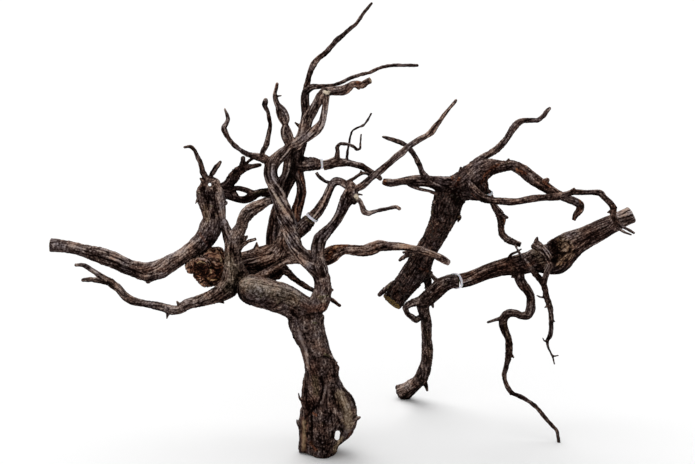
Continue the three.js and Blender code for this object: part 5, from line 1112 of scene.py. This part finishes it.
def surface_relief(strand, look, angle, place, radius, points):
    """Height of the wood's relief, the tone of its grooves and crests, and the places along its grain."""
    turned = angle + look.turn * place
    grain = np.column_stack([radius * np.cos(turned), radius * np.sin(turned), place])
    wide, long = look.width, look.length
    seed = strand.seed + 5 * len(strand.name)
    sway = noise(points / 26, seed)[:, None] * np.array([1.6, 1.6, 0])
    fine = noise((grain + sway) / (wide, wide, long), seed)
    broad = noise((grain + 2 * sway) / (2.3 * wide, 2.3 * wide, 1.7 * long), seed + 3)
    ridge = np.abs(fine)
    dried = smooth_step(-0.1, 0.25, noise(points / 34, seed + 7))
    split = (1 - smooth_step(0.02, 0.13, np.abs(broad))) * dried
    bump = noise(points / np.clip(1.1 * radius, 6, 15)[:, None], seed + 9)
    grit = noise(points / 2.7, seed + 13)
    if look.curl > 0:
        swirl = noise(points / 27, seed + 21) + 0.22 * noise(points / 9, seed + 22)
        ridge = 0.15 * ridge + 0.6 * np.abs(np.sin(math.pi * look.curl * swirl))
    height = look.flute * (1.5 * ridge - 0.5) - look.crack * split + look.lump * bump + look.grit * grit
    groove = 0.55 * (1 - smooth_step(0.02, 0.28, ridge)) + 0.75 * split
    crest = smooth_step(0.30, 0.65, ridge) * (1 - split)
    speckle = 0.20 * grit + 0.16 * noise(points / 4.6, seed + 15) + 0.10 * bump
    # Crests lighter, partly as bleached wood and partly as painted highlight; grooves and cracks darker, as
    # painted shade
    tone = look.line * (0.26 * crest - 0.70 * groove) + look.speck * speckle
    return height, tone, grain


def along_marks(piece, points, normals):
    """Strength of each kind of mark at points: painted on the side that faces the sight point."""
    across, up, _ = sighted(points)
    to_eye = EYE - points
    to_eye /= np.linalg.norm(to_eye, axis=1)[:, None]
    facing = smooth_step(-0.05, 0.3, (normals * to_eye).sum(axis=1))
    wander = np.maximum(1 + 0.5 * noise(points / 4.5, 31) + 0.35 * noise(points / 1.9, 32), 0.3)
    here = np.column_stack([across, up])
    amounts = {kind: np.zeros(len(points)) for kind in MARK_KINDS}
    for kind, amount in amounts.items():
        for width, strength, *places in MARKS.get((piece, kind), ()):
            places = np.array(places, float)
            low, high = places.min(axis=0) - width, places.max(axis=0) + width
            near = np.flatnonzero(((here > low) & (here < high)).all(axis=1))
            spots = here[near]
            closest = np.full(len(near), FAR)
            for start, finish in zip(places[:-1], places[1:]):
                span = finish - start
                share = np.clip((spots - start) @ span / (span @ span), 0, 1)
                closest = np.minimum(closest, np.linalg.norm(spots - start - share[:, None] * span, axis=1))
            fade = 1 - smooth_step(0.4, 1.05, closest / (0.5 * width * wander[near]))
            amount[near] = np.maximum(amount[near], strength * fade * facing[near])
    return amounts


def grow(piece):
    """Makes one grown piece of wood: its skin, its relief and the attributes that its material reads."""
    sizes = bpy.context.scene.driftwood_sizes
    slot, spacing, limbs = PIECES[piece]
    grown, pits, holes = strands_of(piece)
    mesh = skin(piece, grown, holes, spacing * sizes.skin_spacing)
    count = len(mesh.vertices)
    flat = np.empty(3 * count)
    mesh.vertices.foreach_get("co", flat)
    points = flat.reshape(-1, 3) / MM
    corners = np.empty(len(mesh.loops), int)
    mesh.loops.foreach_get("vertex_index", corners)
    quads = corners.reshape(-1, 4)
    points = settle(points, grown, holes)
    normals = vertex_normals(points, quads)
    _, _, readings, weights = joined(points, grown)

    height, tone, base, chestnut, cut, flaky = (np.zeros(count) for _ in range(6))
    grain = np.zeros((count, 3))
    strongest = np.zeros(count)
    for strand, reading, weight in zip(grown, readings, weights):
        some = np.flatnonzero(weight > 0.02)
        near, angle, place, sawn = (reading[part][some] for part in (0, 3, 4, 6))
        weight = weight[some]
        limb = LIMBS[strand.name]
        radius = np.interp(place, strand.along, strand.radii)
        spots = points[near]
        lift, shade, own_grain = surface_relief(strand, RELIEFS[limb.look], angle, place, radius, spots)
        if limb.start:
            other, limit = limb.start
            lift_there, shade_there, _ = surface_relief(strand, RELIEFS[other], angle, place, radius, spots)
            wander = 8 * noise(spots / 17, 51)
            share = smooth_step(limit - START_BLEND, limit + START_BLEND, place + wander)
            lift = lift_there + share * (lift - lift_there)
            shade = shade_there + share * (shade - shade_there)
        scale = np.clip(radius / 12, 0.3, 1.15)
        whole = 1 - 0.8 * sawn
        height[near] += weight * lift * scale * whole
        tone[near] += weight * shade * whole
        base[near] += weight * limb.lighter
        chestnut[near] += weight * limb.chestnut
        cut[near] += weight * sawn * FRESH_CUTS.get(strand.name, OLD_CUT)
        flaky[near] += weight * (limb.look == "bark")
        leads = weight > strongest[near]
        grain[near[leads]] = own_grain[leads]
        strongest[near[leads]] = weight[leads]

    marks = along_marks(piece, points, normals)
    sunk = np.zeros(count)
    for pit in pits:
        near, away, *_ = pit.reach(points)
        sunk[near] = np.maximum(sunk[near], np.clip(-away, 0, 12))
    wall = np.ones(count)
    for hole in holes:
        near, away, *_ = hole.reach(points)
        wall[near] = np.minimum(wall[near], smooth_step(0.5, 3.5, np.abs(away)))
    knobs = marks["rough"] * (1.2 * noise(points / 7, 61) + 0.9 * noise(points / 3.6, 62))
    calm = 1 - marks["smooth"]
    raised = sizes.relief * (height * calm + 0.35 * marks["pale"] + 1.3 * knobs)
    raised -= sunk + 1.0 * marks["dark"] + 3.2 * marks["shaded_hollow"]
    points = points + normals * (raised * wall)[:, None]
    points[:, 2] = np.maximum(points[:, 2], 0)
    mesh.vertices.foreach_set("co", (points * MM).astype(np.float32).ravel())
    mesh.polygons.foreach_set("use_smooth", np.ones(len(mesh.polygons), bool))
    mesh.update()

    # Tone of the wood, with painted light: the tops are painted lighter and the undersides darker, by how far
    # the surface faces up
    light = 0.44 + 0.28 * normals[:, 2] + base + tone * calm
    light += 0.13 * noise(points / 38, 41) + 0.10 * noise(points / 14, 42)
    # Painted shade in the crotches, where limbs blend into each other
    light -= 0.35 * np.clip(1 - strongest, 0, 0.5)
    # Painted highlight and shade on the knobs, lighter where they stand out and darker between them, and
    # painted shade in the pits, darker the deeper they go
    light += 0.5 * np.minimum(knobs, 0.2) - 0.04 * marks["rough"] - 0.045 * np.clip(sunk, 0, 8)
    # Pale, sapwood and broken-fibre marks lighten the wood; some pale marks are painted highlights
    light += 0.40 * marks["pale"] + 0.15 * marks["yellow"] + 0.35 * marks["cream"]
    # Dark marks darken grooves and darker wood and paint the knee's shadow; the shaded hollows are painted
    # dark as shade
    light -= 0.5 * marks["dark"] + 0.9 * marks["shaded_hollow"]
    rusty = smooth_step(-0.15, 0.75, noise(points / 22, 45) + 0.5 * noise(points / 6, 46))
    mossy = smooth_step(0.55, 0.85, noise(points / 7, 47)) * smooth_step(-0.2, 0.4, noise(points / 50, 48))
    values = {
        "light": light,
        "chestnut": chestnut * (0.3 + 1.6 * rusty) + marks["rust"],
        "lichen": 0.3 * mossy + 0.6 * marks["lichen"],
        "yellow": 0.6 * marks["yellow"],
        "cream": marks["cream"],
        "cut": cut,
        "gritty": calm,
        "flaking": flaky * (1 - cut) * (points[:, 2] > FLAKE_FLOOR),
    }
    for name, value in values.items():
        layer = mesh.attributes.new(name, "FLOAT", "POINT")
        layer.data.foreach_set("value", np.clip(value, 0, 1).astype(np.float32))
    layer = mesh.attributes.new("grain", "FLOAT_VECTOR", "POINT")
    layer.data.foreach_set("vector", grain.astype(np.float32).ravel())

    wood = new_object(piece, mesh)
    mesh.materials.append(painted(WOOD_NAMES[slot], paint_wood, slot))
    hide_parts(*limbs)
    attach(wood, "root")
    return wood


# Materials


def add_node(tree, kind, inputs=None, **settings):
    """Adds a node with its settings. Its inputs are values, sockets, or nodes whose first output is meant."""
    made = tree.nodes.new(kind)
    for name, value in settings.items():
        setattr(made, name, value)
    for socket, value in (inputs or {}).items():
        if isinstance(value, bpy.types.Node):
            value = value.outputs[0]
        if isinstance(value, bpy.types.NodeSocket):
            tree.links.new(value, made.inputs[socket])
        else:
            made.inputs[socket].default_value = value
    return made


def add_noise(tree, place, scale, detail, roughness=0.5):
    given = {"Vector": place, "Scale": scale, "Detail": detail, "Roughness": roughness}
    return add_node(tree, "ShaderNodeTexNoise", given).outputs["Fac"]


def add_ramp(tree, factor, stops):
    """A colour ramp: its stops are a place and a hex colour each."""
    made = add_node(tree, "ShaderNodeValToRGB", {"Fac": factor})
    (place, colour), *others = stops
    elements = made.color_ramp.elements
    while len(elements) > 1:
        elements.remove(elements[-1])
    elements[0].position, elements[0].color = place, linear(colour)
    for place, colour in others:
        elements.new(place).color = linear(colour)
    return made.outputs["Color"]


def painted(name, paint, *details):
    """The material of that name. The first time, paint adds its nodes and gives the shader's inputs."""
    if name not in bpy.data.materials:
        material = bpy.data.materials.new(name)
        material.use_nodes = True
        tree = material.node_tree
        tree.nodes.clear()
        shader = add_node(tree, "ShaderNodeBsdfPrincipled", {"IOR": 1.53, **paint(tree, *details)})
        add_node(tree, "ShaderNodeOutputMaterial", {"Surface": shader})
    return bpy.data.materials[name]


# Sun-bleached, weathered root wood, by tone: near-black cracks and painted shade, brown-grey body, silver-tan
# ridges and painted highlights
WOOD_STOPS = {
    "grey_wood": ("#060100", "#150c08", "#4a3c38", "#766a64", "#b5a8a0"),
    "pale_wood": ("#060100", "#160d09", "#51433d", "#807168", "#c0b1a7"),
    "dark_wood": ("#060100", "#110906", "#41332f", "#6b5c56", "#a8998f"),
    "chestnut_wood": ("#060100", "#160c07", "#4e3b33", "#806b60", "#bca89a"),
}
WOOD_PLACES = (0.0, 0.19, 0.49, 0.76, 1.0)
# Chestnut heartwood, bared sapwood, lichen, sawn faces and pale broken fibre, laid on in this order
LAYERS = {
    "chestnut": [(0.0, "#0b0504"), (0.25, "#341c15"), (0.6, "#704531"), (0.85, "#a06a48"), (1.0, "#c49870")],
    "yellow": [(0.0, "#0e0a05"), (0.3, "#40321f"), (0.65, "#85714d"), (1.0, "#baa57c")],
    "lichen": [(0.0, "#0c0c07"), (0.3, "#37351f"), (0.65, "#77744e"), (1.0, "#a9a57c")],
    "cut": [(0.0, "#231809"), (0.3, "#6a5228"), (0.6, "#a08446"), (1.0, "#c9b27a")],
    "cream": [(0.0, "#5c5148"), (0.5, "#bfae98"), (1.0, "#dccdb6")],
}
WOOD_NAMES = {
    "grey_wood": "Weathered grey root wood",
    "pale_wood": "Bleached root wood",
    "dark_wood": "Bark-dark root wood",
    "chestnut_wood": "Chestnut heartwood and burl",
}


def paint_wood(tree, slot):
    """Driftwood as sun and water leave it: dry, matt, split along the grain, brown where its skin is off."""
    looks = bpy.context.scene.driftwood_looks

    def attribute(key):
        return add_node(tree, "ShaderNodeAttribute", attribute_name=key).outputs

    def maths(operation, first, second, clamp=False):
        return add_node(tree, "ShaderNodeMath", {0: first, 1: second}, operation=operation, use_clamp=clamp)

    def blended(factor, under, over, blend="MIX"):
        """One colour laid over another."""
        mixed = add_node(tree, "ShaderNodeMix", {"Factor": factor}, data_type="RGBA", blend_type=blend)
        for socket, value in (("A_Color", under), ("B_Color", over)):
            tree.links.new(value, next(s for s in mixed.inputs if s.identifier == socket))
        return next(s for s in mixed.outputs if s.identifier == "Result_Color")

    # The tone worked out when the wood was grown carries painted light: lighter tops, darker undersides, and
    # painted shade in crotches, pits, grooves and hollows
    light = attribute("light")["Fac"]
    grain = attribute("grain")["Vector"]
    place = add_node(tree, "ShaderNodeTexCoord").outputs["Object"]
    # Fibres 2.5 mm wide and 45 mm long, coarser than real ones so that they show
    along = add_node(tree, "ShaderNodeVectorMath", {0: grain, 1: (0.4, 0.4, 0.022)}, operation="MULTIPLY")
    fibres = add_noise(tree, along.outputs[0], 1.0, 3.0, 0.6)
    # Specks of grit and silt 3 mm across, coarser than real ones so that they show
    specks = add_noise(tree, place, 320.0, 3.0, 0.7)
    fibre_tone = maths("MULTIPLY", maths("SUBTRACT", fibres, 0.5), looks.fibre_contrast)
    speck_tone = maths("MULTIPLY", maths("SUBTRACT", specks, 0.5), looks.speck_contrast)
    mottle = maths("MULTIPLY", maths("ADD", fibre_tone, speck_tone), attribute("gritty")["Fac"])
    tone = maths("ADD", light, mottle, clamp=True)
    # Tannin and iron tint the grey by patches 15 to 40 mm across
    stain = add_noise(tree, place, 34.0, 4.0, 0.65)
    warmth = add_ramp(tree, stain, [(0.36, "#ecedfa"), (0.5, "#fff7f4"), (0.64, "#ffe6d8")])
    wood = add_ramp(tree, tone, zip(WOOD_PLACES, WOOD_STOPS[slot]))
    colour = blended(1.0, wood, warmth, "MULTIPLY")
    for key, stops in LAYERS.items():
        colour = blended(attribute(key)["Fac"], colour, add_ramp(tree, tone, stops))
    # Raised fibres catch the light
    rise = maths("ADD", maths("MULTIPLY", fibres, 0.7), maths("MULTIPLY", specks, 0.5))
    bump = add_node(tree, "ShaderNodeBump", {"Height": rise, "Strength": 0.6, "Distance": 0.001})
    # Dark grooves are the driest and roughest
    ends = {"From Min": 0.0, "From Max": 1.0, "To Min": 0.93, "To Max": 0.72}
    dry = add_node(tree, "ShaderNodeMapRange", {"Value": tone, **ends})
    return {"Base Color": colour, "Roughness": dry, "Specular IOR Level": 0.03, "Normal": bump}


def paint_bark(tree):
    """Loose bark: thin dark plates, matt, a little lighter on their worn faces."""
    place = add_node(tree, "ShaderNodeTexCoord").outputs["Object"]
    cloud = add_noise(tree, place, 330.0, 3.0, 0.6)
    tint = add_ramp(tree, cloud, [(0.3, "#0f0a08"), (0.5, "#2a201c"), (0.7, "#54463e")])
    bump = add_node(tree, "ShaderNodeBump", {"Height": cloud, "Strength": 0.4, "Distance": 0.0005})
    return {"Base Color": tint, "Roughness": 0.9, "Specular IOR Level": 0.2, "Normal": bump}


def paint_nylon(tree, code):
    """Moulded natural nylon: milky white, a soft gloss, faint waves in the surface."""
    place = add_node(tree, "ShaderNodeTexCoord").outputs["Object"]
    cloud = add_noise(tree, place, 420.0, 2.0)
    tint = add_ramp(tree, cloud, [(0.3, "#cfcfd8"), (0.7, code)])
    bump = add_node(tree, "ShaderNodeBump", {"Height": cloud, "Strength": 0.2, "Distance": 0.0002})
    glow = {"Subsurface Weight": 0.15, "Subsurface Scale": 0.001}
    return {"Base Color": tint, "Roughness": 0.38, "Normal": bump, **glow}


# Geometry node trees


def made_tree(name, sockets, build):
    """The geometry node tree of that name. The first time, build adds its nodes and gives the last one."""
    if name not in bpy.data.node_groups:
        tree = bpy.data.node_groups.new(name, "GeometryNodeTree")
        tree.interface.new_socket("Geometry", in_out="INPUT", socket_type="NodeSocketGeometry")
        for label, kind in sockets.items():
            tree.interface.new_socket(label, in_out="INPUT", socket_type="NodeSocket" + kind)
        tree.interface.new_socket("Geometry", in_out="OUTPUT", socket_type="NodeSocketGeometry")
        given = tree.nodes.new("NodeGroupInput").outputs
        real = add_node(tree, "GeometryNodeRealizeInstances", {"Geometry": build(tree, given)})
        done = add_node(tree, "GeometryNodeSetMaterial", {"Geometry": real, "Material": given["Material"]})
        add_node(tree, "NodeGroupOutput", {"Geometry": done})
    return bpy.data.node_groups[name]


def run_tree(piece, tree, values):
    """Adds the tree to an object, sets its named inputs and returns the resulting mesh."""
    modifier = piece.modifiers.new(tree.name, "NODES")
    modifier.node_group = tree
    for item in tree.interface.items_tree:
        if item.in_out == "INPUT" and item.name in values:
            modifier[item.identifier] = values[item.name]
    mesh = evaluated_mesh(piece)
    piece.modifiers.remove(modifier)
    return mesh


def lay_band(tree, given):
    """A rounded strap along a closed line, which lies in the XY plane and is then turned to stand in XZ."""
    line = add_node(tree, "GeometryNodeMeshToCurve", {"Mesh": given["Geometry"]})
    even = add_node(tree, "GeometryNodeSetCurveNormal", {"Curve": line}, mode="Z_UP")
    sizes = {"Width": given["Thickness"], "Height": given["Width"]}
    strap = add_node(tree, "GeometryNodeCurvePrimitiveQuadrilateral", sizes)
    edge = add_node(tree, "ShaderNodeMath", {0: given["Thickness"], 1: 0.28}, operation="MULTIPLY")
    corners = {"Curve": strap, "Radius": edge, "Count": 3}
    rounded = add_node(tree, "GeometryNodeFilletCurve", corners, mode="POLY")
    band = add_node(tree, "GeometryNodeCurveToMesh", {"Curve": even, "Profile Curve": rounded})
    return add_node(tree, "GeometryNodeTransform", {"Geometry": band, "Rotation": (math.radians(90), 0, 0)})


def scatter_flakes(tree, given):
    """Small plates scattered over a surface where its flaking attribute is high."""

    def any_vector(low, high, seed):
        limits = {"Min": low, "Max": high, "Seed": seed}
        return add_node(tree, "FunctionNodeRandomValue", limits, data_type="FLOAT_VECTOR")

    flaking = add_node(tree, "GeometryNodeInputNamedAttribute", {"Name": "flaking"}, data_type="FLOAT")
    amount = add_node(tree, "ShaderNodeMath", {0: flaking, 1: given["Density"]}, operation="MULTIPLY")
    where = {"Mesh": given["Geometry"], "Density": amount, "Seed": given["Seed"]}
    spots = add_node(tree, "GeometryNodeDistributePointsOnFaces", where)
    shape = {"Vertices": 6, "Radius": given["Size"], "Depth": 0.0007}
    plate = add_node(tree, "GeometryNodeMeshCylinder", shape)
    torn = any_vector((-0.001, -0.001, -0.0003), (0.001, 0.001, 0.0003), 5)
    ragged = add_node(tree, "GeometryNodeSetPosition", {"Geometry": plate, "Offset": torn})
    spin = any_vector((-0.35, -0.35, 0), (0.35, 0.35, 6.28), 8)
    turn = {"Rotation": spots.outputs["Rotation"], "Rotate By": spin}
    facing = add_node(tree, "FunctionNodeRotateRotation", turn, rotation_space="LOCAL")
    stretch = any_vector((0.4, 0.4, 0.6), (2.0, 1.1, 1.3), 9)
    placed = {"Points": spots, "Instance": ragged, "Rotation": facing, "Scale": stretch}
    return add_node(tree, "GeometryNodeInstanceOnPoints", placed)


# Pieces that aren't grown


def rounded_block(mesh, size, place, bevel):
    """Adds a bevelled block to a bmesh."""
    made = bmesh.ops.create_cube(mesh, size=1.0)
    bmesh.ops.scale(mesh, vec=size, verts=made["verts"])
    bmesh.ops.translate(mesh, vec=place, verts=made["verts"])
    edges = {edge for vertex in made["verts"] for edge in vertex.link_edges}
    bmesh.ops.bevel(mesh, geom=list(edges), offset=bevel, segments=2, affect="EDGES")


def taut_line(centre, side, front, size, limbs):
    """The line that a strap takes round the limbs it holds: the hull of their section, as (side, front)."""
    strands = [strand_of(name) for name in limbs]
    angles = np.arange(120) * 2 * math.pi / 120
    rays = np.cos(angles)[:, None] * side + np.sin(angles)[:, None] * front
    steps = np.arange(1.7 * size, 0.3 * size, -0.25)
    spots = centre + rays[:, None, :] * steps[None, :, None]
    wood = joined(spots.reshape(-1, 3), strands)[0].reshape(len(rays), len(steps)) < 0
    reach = np.where(wood.any(axis=1), steps[np.argmax(wood, axis=1)], 0.3 * size)
    flat = np.column_stack([np.cos(angles), np.sin(angles)]) * reach[:, None]
    hull = flat[convex_hull_2d([tuple(spot) for spot in flat])]
    around = np.arctan2(hull[:, 1], hull[:, 0])
    order = np.argsort(around)
    closed = np.vstack([hull[order], hull[order[:1]]])
    length = np.concatenate([[0], np.cumsum(np.linalg.norm(np.diff(closed, axis=0), axis=1))])
    even = np.linspace(0, length[-1], 91)[:-1]
    line = np.column_stack([np.interp(even, length, closed[:, k]) for k in (0, 1)])
    for _ in range(3):
        line = 0.5 * line + 0.25 * (np.roll(line, 1, axis=0) + np.roll(line, -1, axis=0))
    return line


def cable_tie(name, at, towards, limbs, tone):
    """One nylon tie: a strap drawn round the wood, its lock head at the back and the trimmed tail."""
    sizes = bpy.context.scene.driftwood_sizes
    thick, width = sizes.tie_thickness, sizes.tie_width
    centres, radii = surveyed([at, towards])
    axis = (centres[1] - centres[0]) / np.linalg.norm(centres[1] - centres[0])
    front = np.array([0, -1.0, 0]) + axis * axis[1]
    front /= np.linalg.norm(front)
    side = np.cross(axis, front)
    line = taut_line(centres[0], side, front, radii[0], limbs) * MM
    line *= 1 + (thick / 2 + TIE_SLACK * MM) / np.linalg.norm(line, axis=1)[:, None]
    path = bpy.data.meshes.new(name)
    count = len(line)
    path.from_pydata([(x, y, 0) for x, y in line], [(i, (i + 1) % count) for i in range(count)], [])
    seat = new_object(name, path)
    title, code = tone
    material = painted(title, paint_nylon, code)
    sockets = {"Thickness": "Float", "Width": "Float", "Material": "Material"}
    tree = made_tree("Tie band", sockets, lay_band)
    band = run_tree(seat, tree, {"Thickness": thick, "Width": width, "Material": material})
    built = bmesh.new()
    built.from_mesh(band)
    back = -line[:, 1].min() + thick / 2
    # The lock head, its pawl and the trimmed tail: size, place and bevel in metres
    rounded_block(built, (0.005, width + 0.0012, 0.004), (0, 0, -back - 0.001), 0.0005)
    rounded_block(built, (0.0032, width * 0.7, 0.0012), (0, 0, -back - 0.0034), 0.0003)
    rounded_block(built, (0.004, width * 0.92, thick * 0.8), (0.0038, 0, -back - 0.0004), 0.0003)
    turn = Matrix(np.column_stack([side, axis, front]).tolist()).to_4x4()
    built.transform(Matrix.Translation(Vector((centres[0] * MM).tolist())) @ turn)
    bmesh.ops.recalc_face_normals(built, faces=built.faces)
    path.clear_geometry()
    built.to_mesh(path)
    built.free()
    bpy.data.meshes.remove(band)
    path.materials.clear()
    path.materials.append(material)
    for face in path.polygons:
        face.material_index = 0
        face.use_smooth = True
    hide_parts(name.replace("_strap", ""))
    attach(seat, "root")
    return seat


# Sizes, looks and stage that a user would change


class DriftwoodSizes(bpy.types.PropertyGroup):
    skin_spacing: FloatProperty(
        name="Skin spacing", description="Coarseness of the mesh: 1 is the finest", default=1.0, min=1.0
    )
    relief: FloatProperty(name="Relief", description="Depth of flutes, cracks and lumps", default=1.0, min=0)
    tie_width: FloatProperty(
        name="Tie width", description="Width of the nylon straps", default=4 * MM, unit="LENGTH"
    )
    tie_thickness: FloatProperty(
        name="Tie thickness", description="Thickness of the nylon straps", default=1.4 * MM, unit="LENGTH"
    )
    flake_size: FloatProperty(
        name="Flake size", description="Radius of a bark flake", default=1.9 * MM, unit="LENGTH"
    )
    flake_density: FloatProperty(
        name="Flake density", description="Flakes on a square metre of bark", default=15000, min=0
    )
    flake_seed: IntProperty(name="Flake seed", description="Seed of the flakes' places", default=4)


class DriftwoodLooks(bpy.types.PropertyGroup):
    fibre_contrast: FloatProperty(
        name="Fibre contrast", description="How much the fibres change the wood's tone", default=1.3
    )
    speck_contrast: FloatProperty(
        name="Speck contrast", description="How much grit changes the wood's tone", default=1.8
    )


class DriftwoodStage(bpy.types.PropertyGroup):
    overhead_strength: FloatProperty(
        name="Overhead light", description="Strength of the broad overhead light", default=2.3
    )
    front_strength: FloatProperty(name="Front light", description="Strength of the front light", default=0.35)
    world_strength: FloatProperty(name="Even light", description="Strength of the even light", default=0.42)
    camera_lens: FloatProperty(
        name="Lens", description="Focal length of the camera in millimetres", default=85.0
    )
    floor_colour: FloatVectorProperty(
        name="Floor colour", description="Colour of the plain floor", subtype="COLOR", default=(0.9, 0.9, 0.9)
    )


# Operators


class GrowsWood:
    """Grows the pieces of wood of one group"""

    def execute(self, context):
        for piece in self.pieces:
            grow(piece)
        return {"FINISHED"}


class DRIFTWOOD_OT_trunk(GrowsWood, bpy.types.Operator):
    """Grows the trunk, its knee and both stems"""

    bl_idname = "driftwood.trunk"
    bl_label = "Trunk and stems"
    pieces = ("trunk_wood",)


class DRIFTWOOD_OT_left_branches(GrowsWood, bpy.types.Operator):
    """Grows the elbow, the low branch and the long left arm with its rotten upright"""

    bl_idname = "driftwood.left_branches"
    bl_label = "Left branches"
    pieces = ("low_left_wood", "left_arm_wood")


class DRIFTWOOD_OT_burl(GrowsWood, bpy.types.Operator):
    """Grows the curly burl log and the long right branch"""

    bl_idname = "driftwood.burl"
    bl_label = "Burl log"
    pieces = ("burl_wood",)


class DRIFTWOOD_OT_tied_branches(GrowsWood, bpy.types.Operator):
    """Grows the dark stem and the branches tied or wedged at the crossing"""

    bl_idname = "driftwood.tied_branches"
    bl_label = "Tied branches"
    pieces = ("dark_stem_wood", "slim_branch_wood", "tied_branch_wood", "bridge_wood")


class DRIFTWOOD_OT_right_trunk(GrowsWood, bpy.types.Operator):
    """Grows the right trunk with its crown and arms"""

    bl_idname = "driftwood.right_trunk"
    bl_label = "Right trunk"
    pieces = ("right_trunk_wood",)


class DRIFTWOOD_OT_right_log(GrowsWood, bpy.types.Operator):
    """Grows the sawn right log with its prop, the leg and the hanging twig"""

    bl_idname = "driftwood.right_log"
    bl_label = "Right log and leg"
    pieces = ("right_log_wood", "leg_wood", "hanging_twig_wood")


class DRIFTWOOD_OT_ties(bpy.types.Operator):
    """Makes the nylon cable ties"""

    bl_idname = "driftwood.ties"
    bl_label = "Cable ties"

    def execute(self, context):
        for name, *rest in TIES:
            cable_tie(name + "_strap", *rest)
        return {"FINISHED"}


class DRIFTWOOD_OT_flakes(bpy.types.Operator):
    """Scatters loose bark flakes over the barked wood"""

    bl_idname = "driftwood.flakes"
    bl_label = "Bark flakes"

    def execute(self, context):
        sizes = context.scene.driftwood_sizes
        wood = bpy.data.objects.get(FLAKED)
        if wood is None:
            raise RuntimeError(f"{FLAKED} has to be grown before its flakes")
        sockets = {"Density": "Float", "Size": "Float", "Seed": "Int", "Material": "Material"}
        values = {
            "Density": sizes.flake_density,
            "Size": sizes.flake_size,
            "Seed": sizes.flake_seed,
            "Material": painted("Loose bark", paint_bark),
        }
        mesh = run_tree(wood, made_tree("Bark flakes", sockets, scatter_flakes), values)
        name = FLAKED + "_flakes"
        mesh.name = name
        flakes = new_object(name, mesh)
        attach(flakes, "root")
        return {"FINISHED"}


class DRIFTWOOD_OT_stage(bpy.types.Operator):
    """Sets the pale floor, the soft lights and the camera"""

    bl_idname = "driftwood.stage"
    bl_label = "Stage"

    def execute(self, context):
        stage = context.scene.driftwood_stage
        floor_mesh = bpy.data.meshes.new("floor")
        half = 14.0  # metres
        corners = [(-half, -half, 0), (half, -half, 0), (half, half, 0), (-half, half, 0)]
        floor_mesh.from_pydata(corners, [], [(0, 1, 2, 3)])
        floor = new_object("floor", floor_mesh)
        paint = bpy.data.materials.new("Matt pale floor")
        paint.use_nodes = True
        shader = paint.node_tree.nodes["Principled BSDF"]
        shader.inputs["Base Color"].default_value = (*stage.floor_colour, 1)
        shader.inputs["Roughness"].default_value = 0.9
        floor_mesh.materials.append(paint)
        for name, strength, spread, turn in (
            ("overhead", stage.overhead_strength, 70, (-18, -14, 0)),
            ("front", stage.front_strength, 60, (58, 0, -24)),
        ):
            lamp = bpy.data.lights.new(name, "SUN")
            lamp.energy, lamp.angle = strength, math.radians(spread)
            holder = bpy.data.objects.new(name, lamp)
            context.scene.collection.objects.link(holder)
            holder.rotation_euler = [math.radians(angle) for angle in turn]
        world = bpy.data.worlds.new("Even light")
        context.scene.world = world
        world.use_nodes = True
        sky = world.node_tree.nodes["Background"]
        sky.inputs["Color"].default_value = (1, 1, 1, 1)
        sky.inputs["Strength"].default_value = stage.world_strength
        lens = bpy.data.cameras.new("camera")
        lens.lens, lens.sensor_width = stage.camera_lens, 36
        camera = bpy.data.objects.new("camera", lens)
        context.scene.collection.objects.link(camera)
        camera.location = Vector((EYE * MM).tolist())
        camera.rotation_euler = (math.radians(90) - SIGHT_TILT, 0, 0)
        context.scene.camera = camera
        context.scene.view_settings.view_transform = "Standard"
        return {"FINISHED"}


OPERATORS = [
    DRIFTWOOD_OT_trunk,
    DRIFTWOOD_OT_left_branches,
    DRIFTWOOD_OT_burl,
    DRIFTWOOD_OT_tied_branches,
    DRIFTWOOD_OT_right_trunk,
    DRIFTWOOD_OT_right_log,
    DRIFTWOOD_OT_ties,
    DRIFTWOOD_OT_flakes,
    DRIFTWOOD_OT_stage,
]


class DRIFTWOOD_PT_panel(bpy.types.Panel):
    """Lists the driftwood's pieces"""

    bl_idname = "DRIFTWOOD_PT_panel"
    bl_label = "Driftwood"
    bl_space_type = "VIEW_3D"
    bl_region_type = "UI"
    bl_category = "Driftwood"

    def draw(self, context):
        for group in GROUPS:
            settings = getattr(context.scene, group)
            for name in settings.__annotations__:
                self.layout.prop(settings, name)
        for operator in OPERATORS:
            self.layout.operator(operator.bl_idname)


GROUPS = {
    "driftwood_sizes": DriftwoodSizes,
    "driftwood_looks": DriftwoodLooks,
    "driftwood_stage": DriftwoodStage,
}


def register():
    for item in [*GROUPS.values(), *OPERATORS, DRIFTWOOD_PT_panel]:
        bpy.utils.register_class(item)
    for name, group in GROUPS.items():
        setattr(bpy.types.Scene, name, PointerProperty(type=group))


def unregister():
    for name in GROUPS:
        delattr(bpy.types.Scene, name)
    for item in [DRIFTWOOD_PT_panel, *reversed(OPERATORS), *GROUPS.values()]:
        bpy.utils.unregister_class(item)


def main():
    register()
    for operator in OPERATORS:
        family, name = operator.bl_idname.split(".")
        getattr(getattr(bpy.ops, family), name)()


if __name__ == "__main__":
    main()
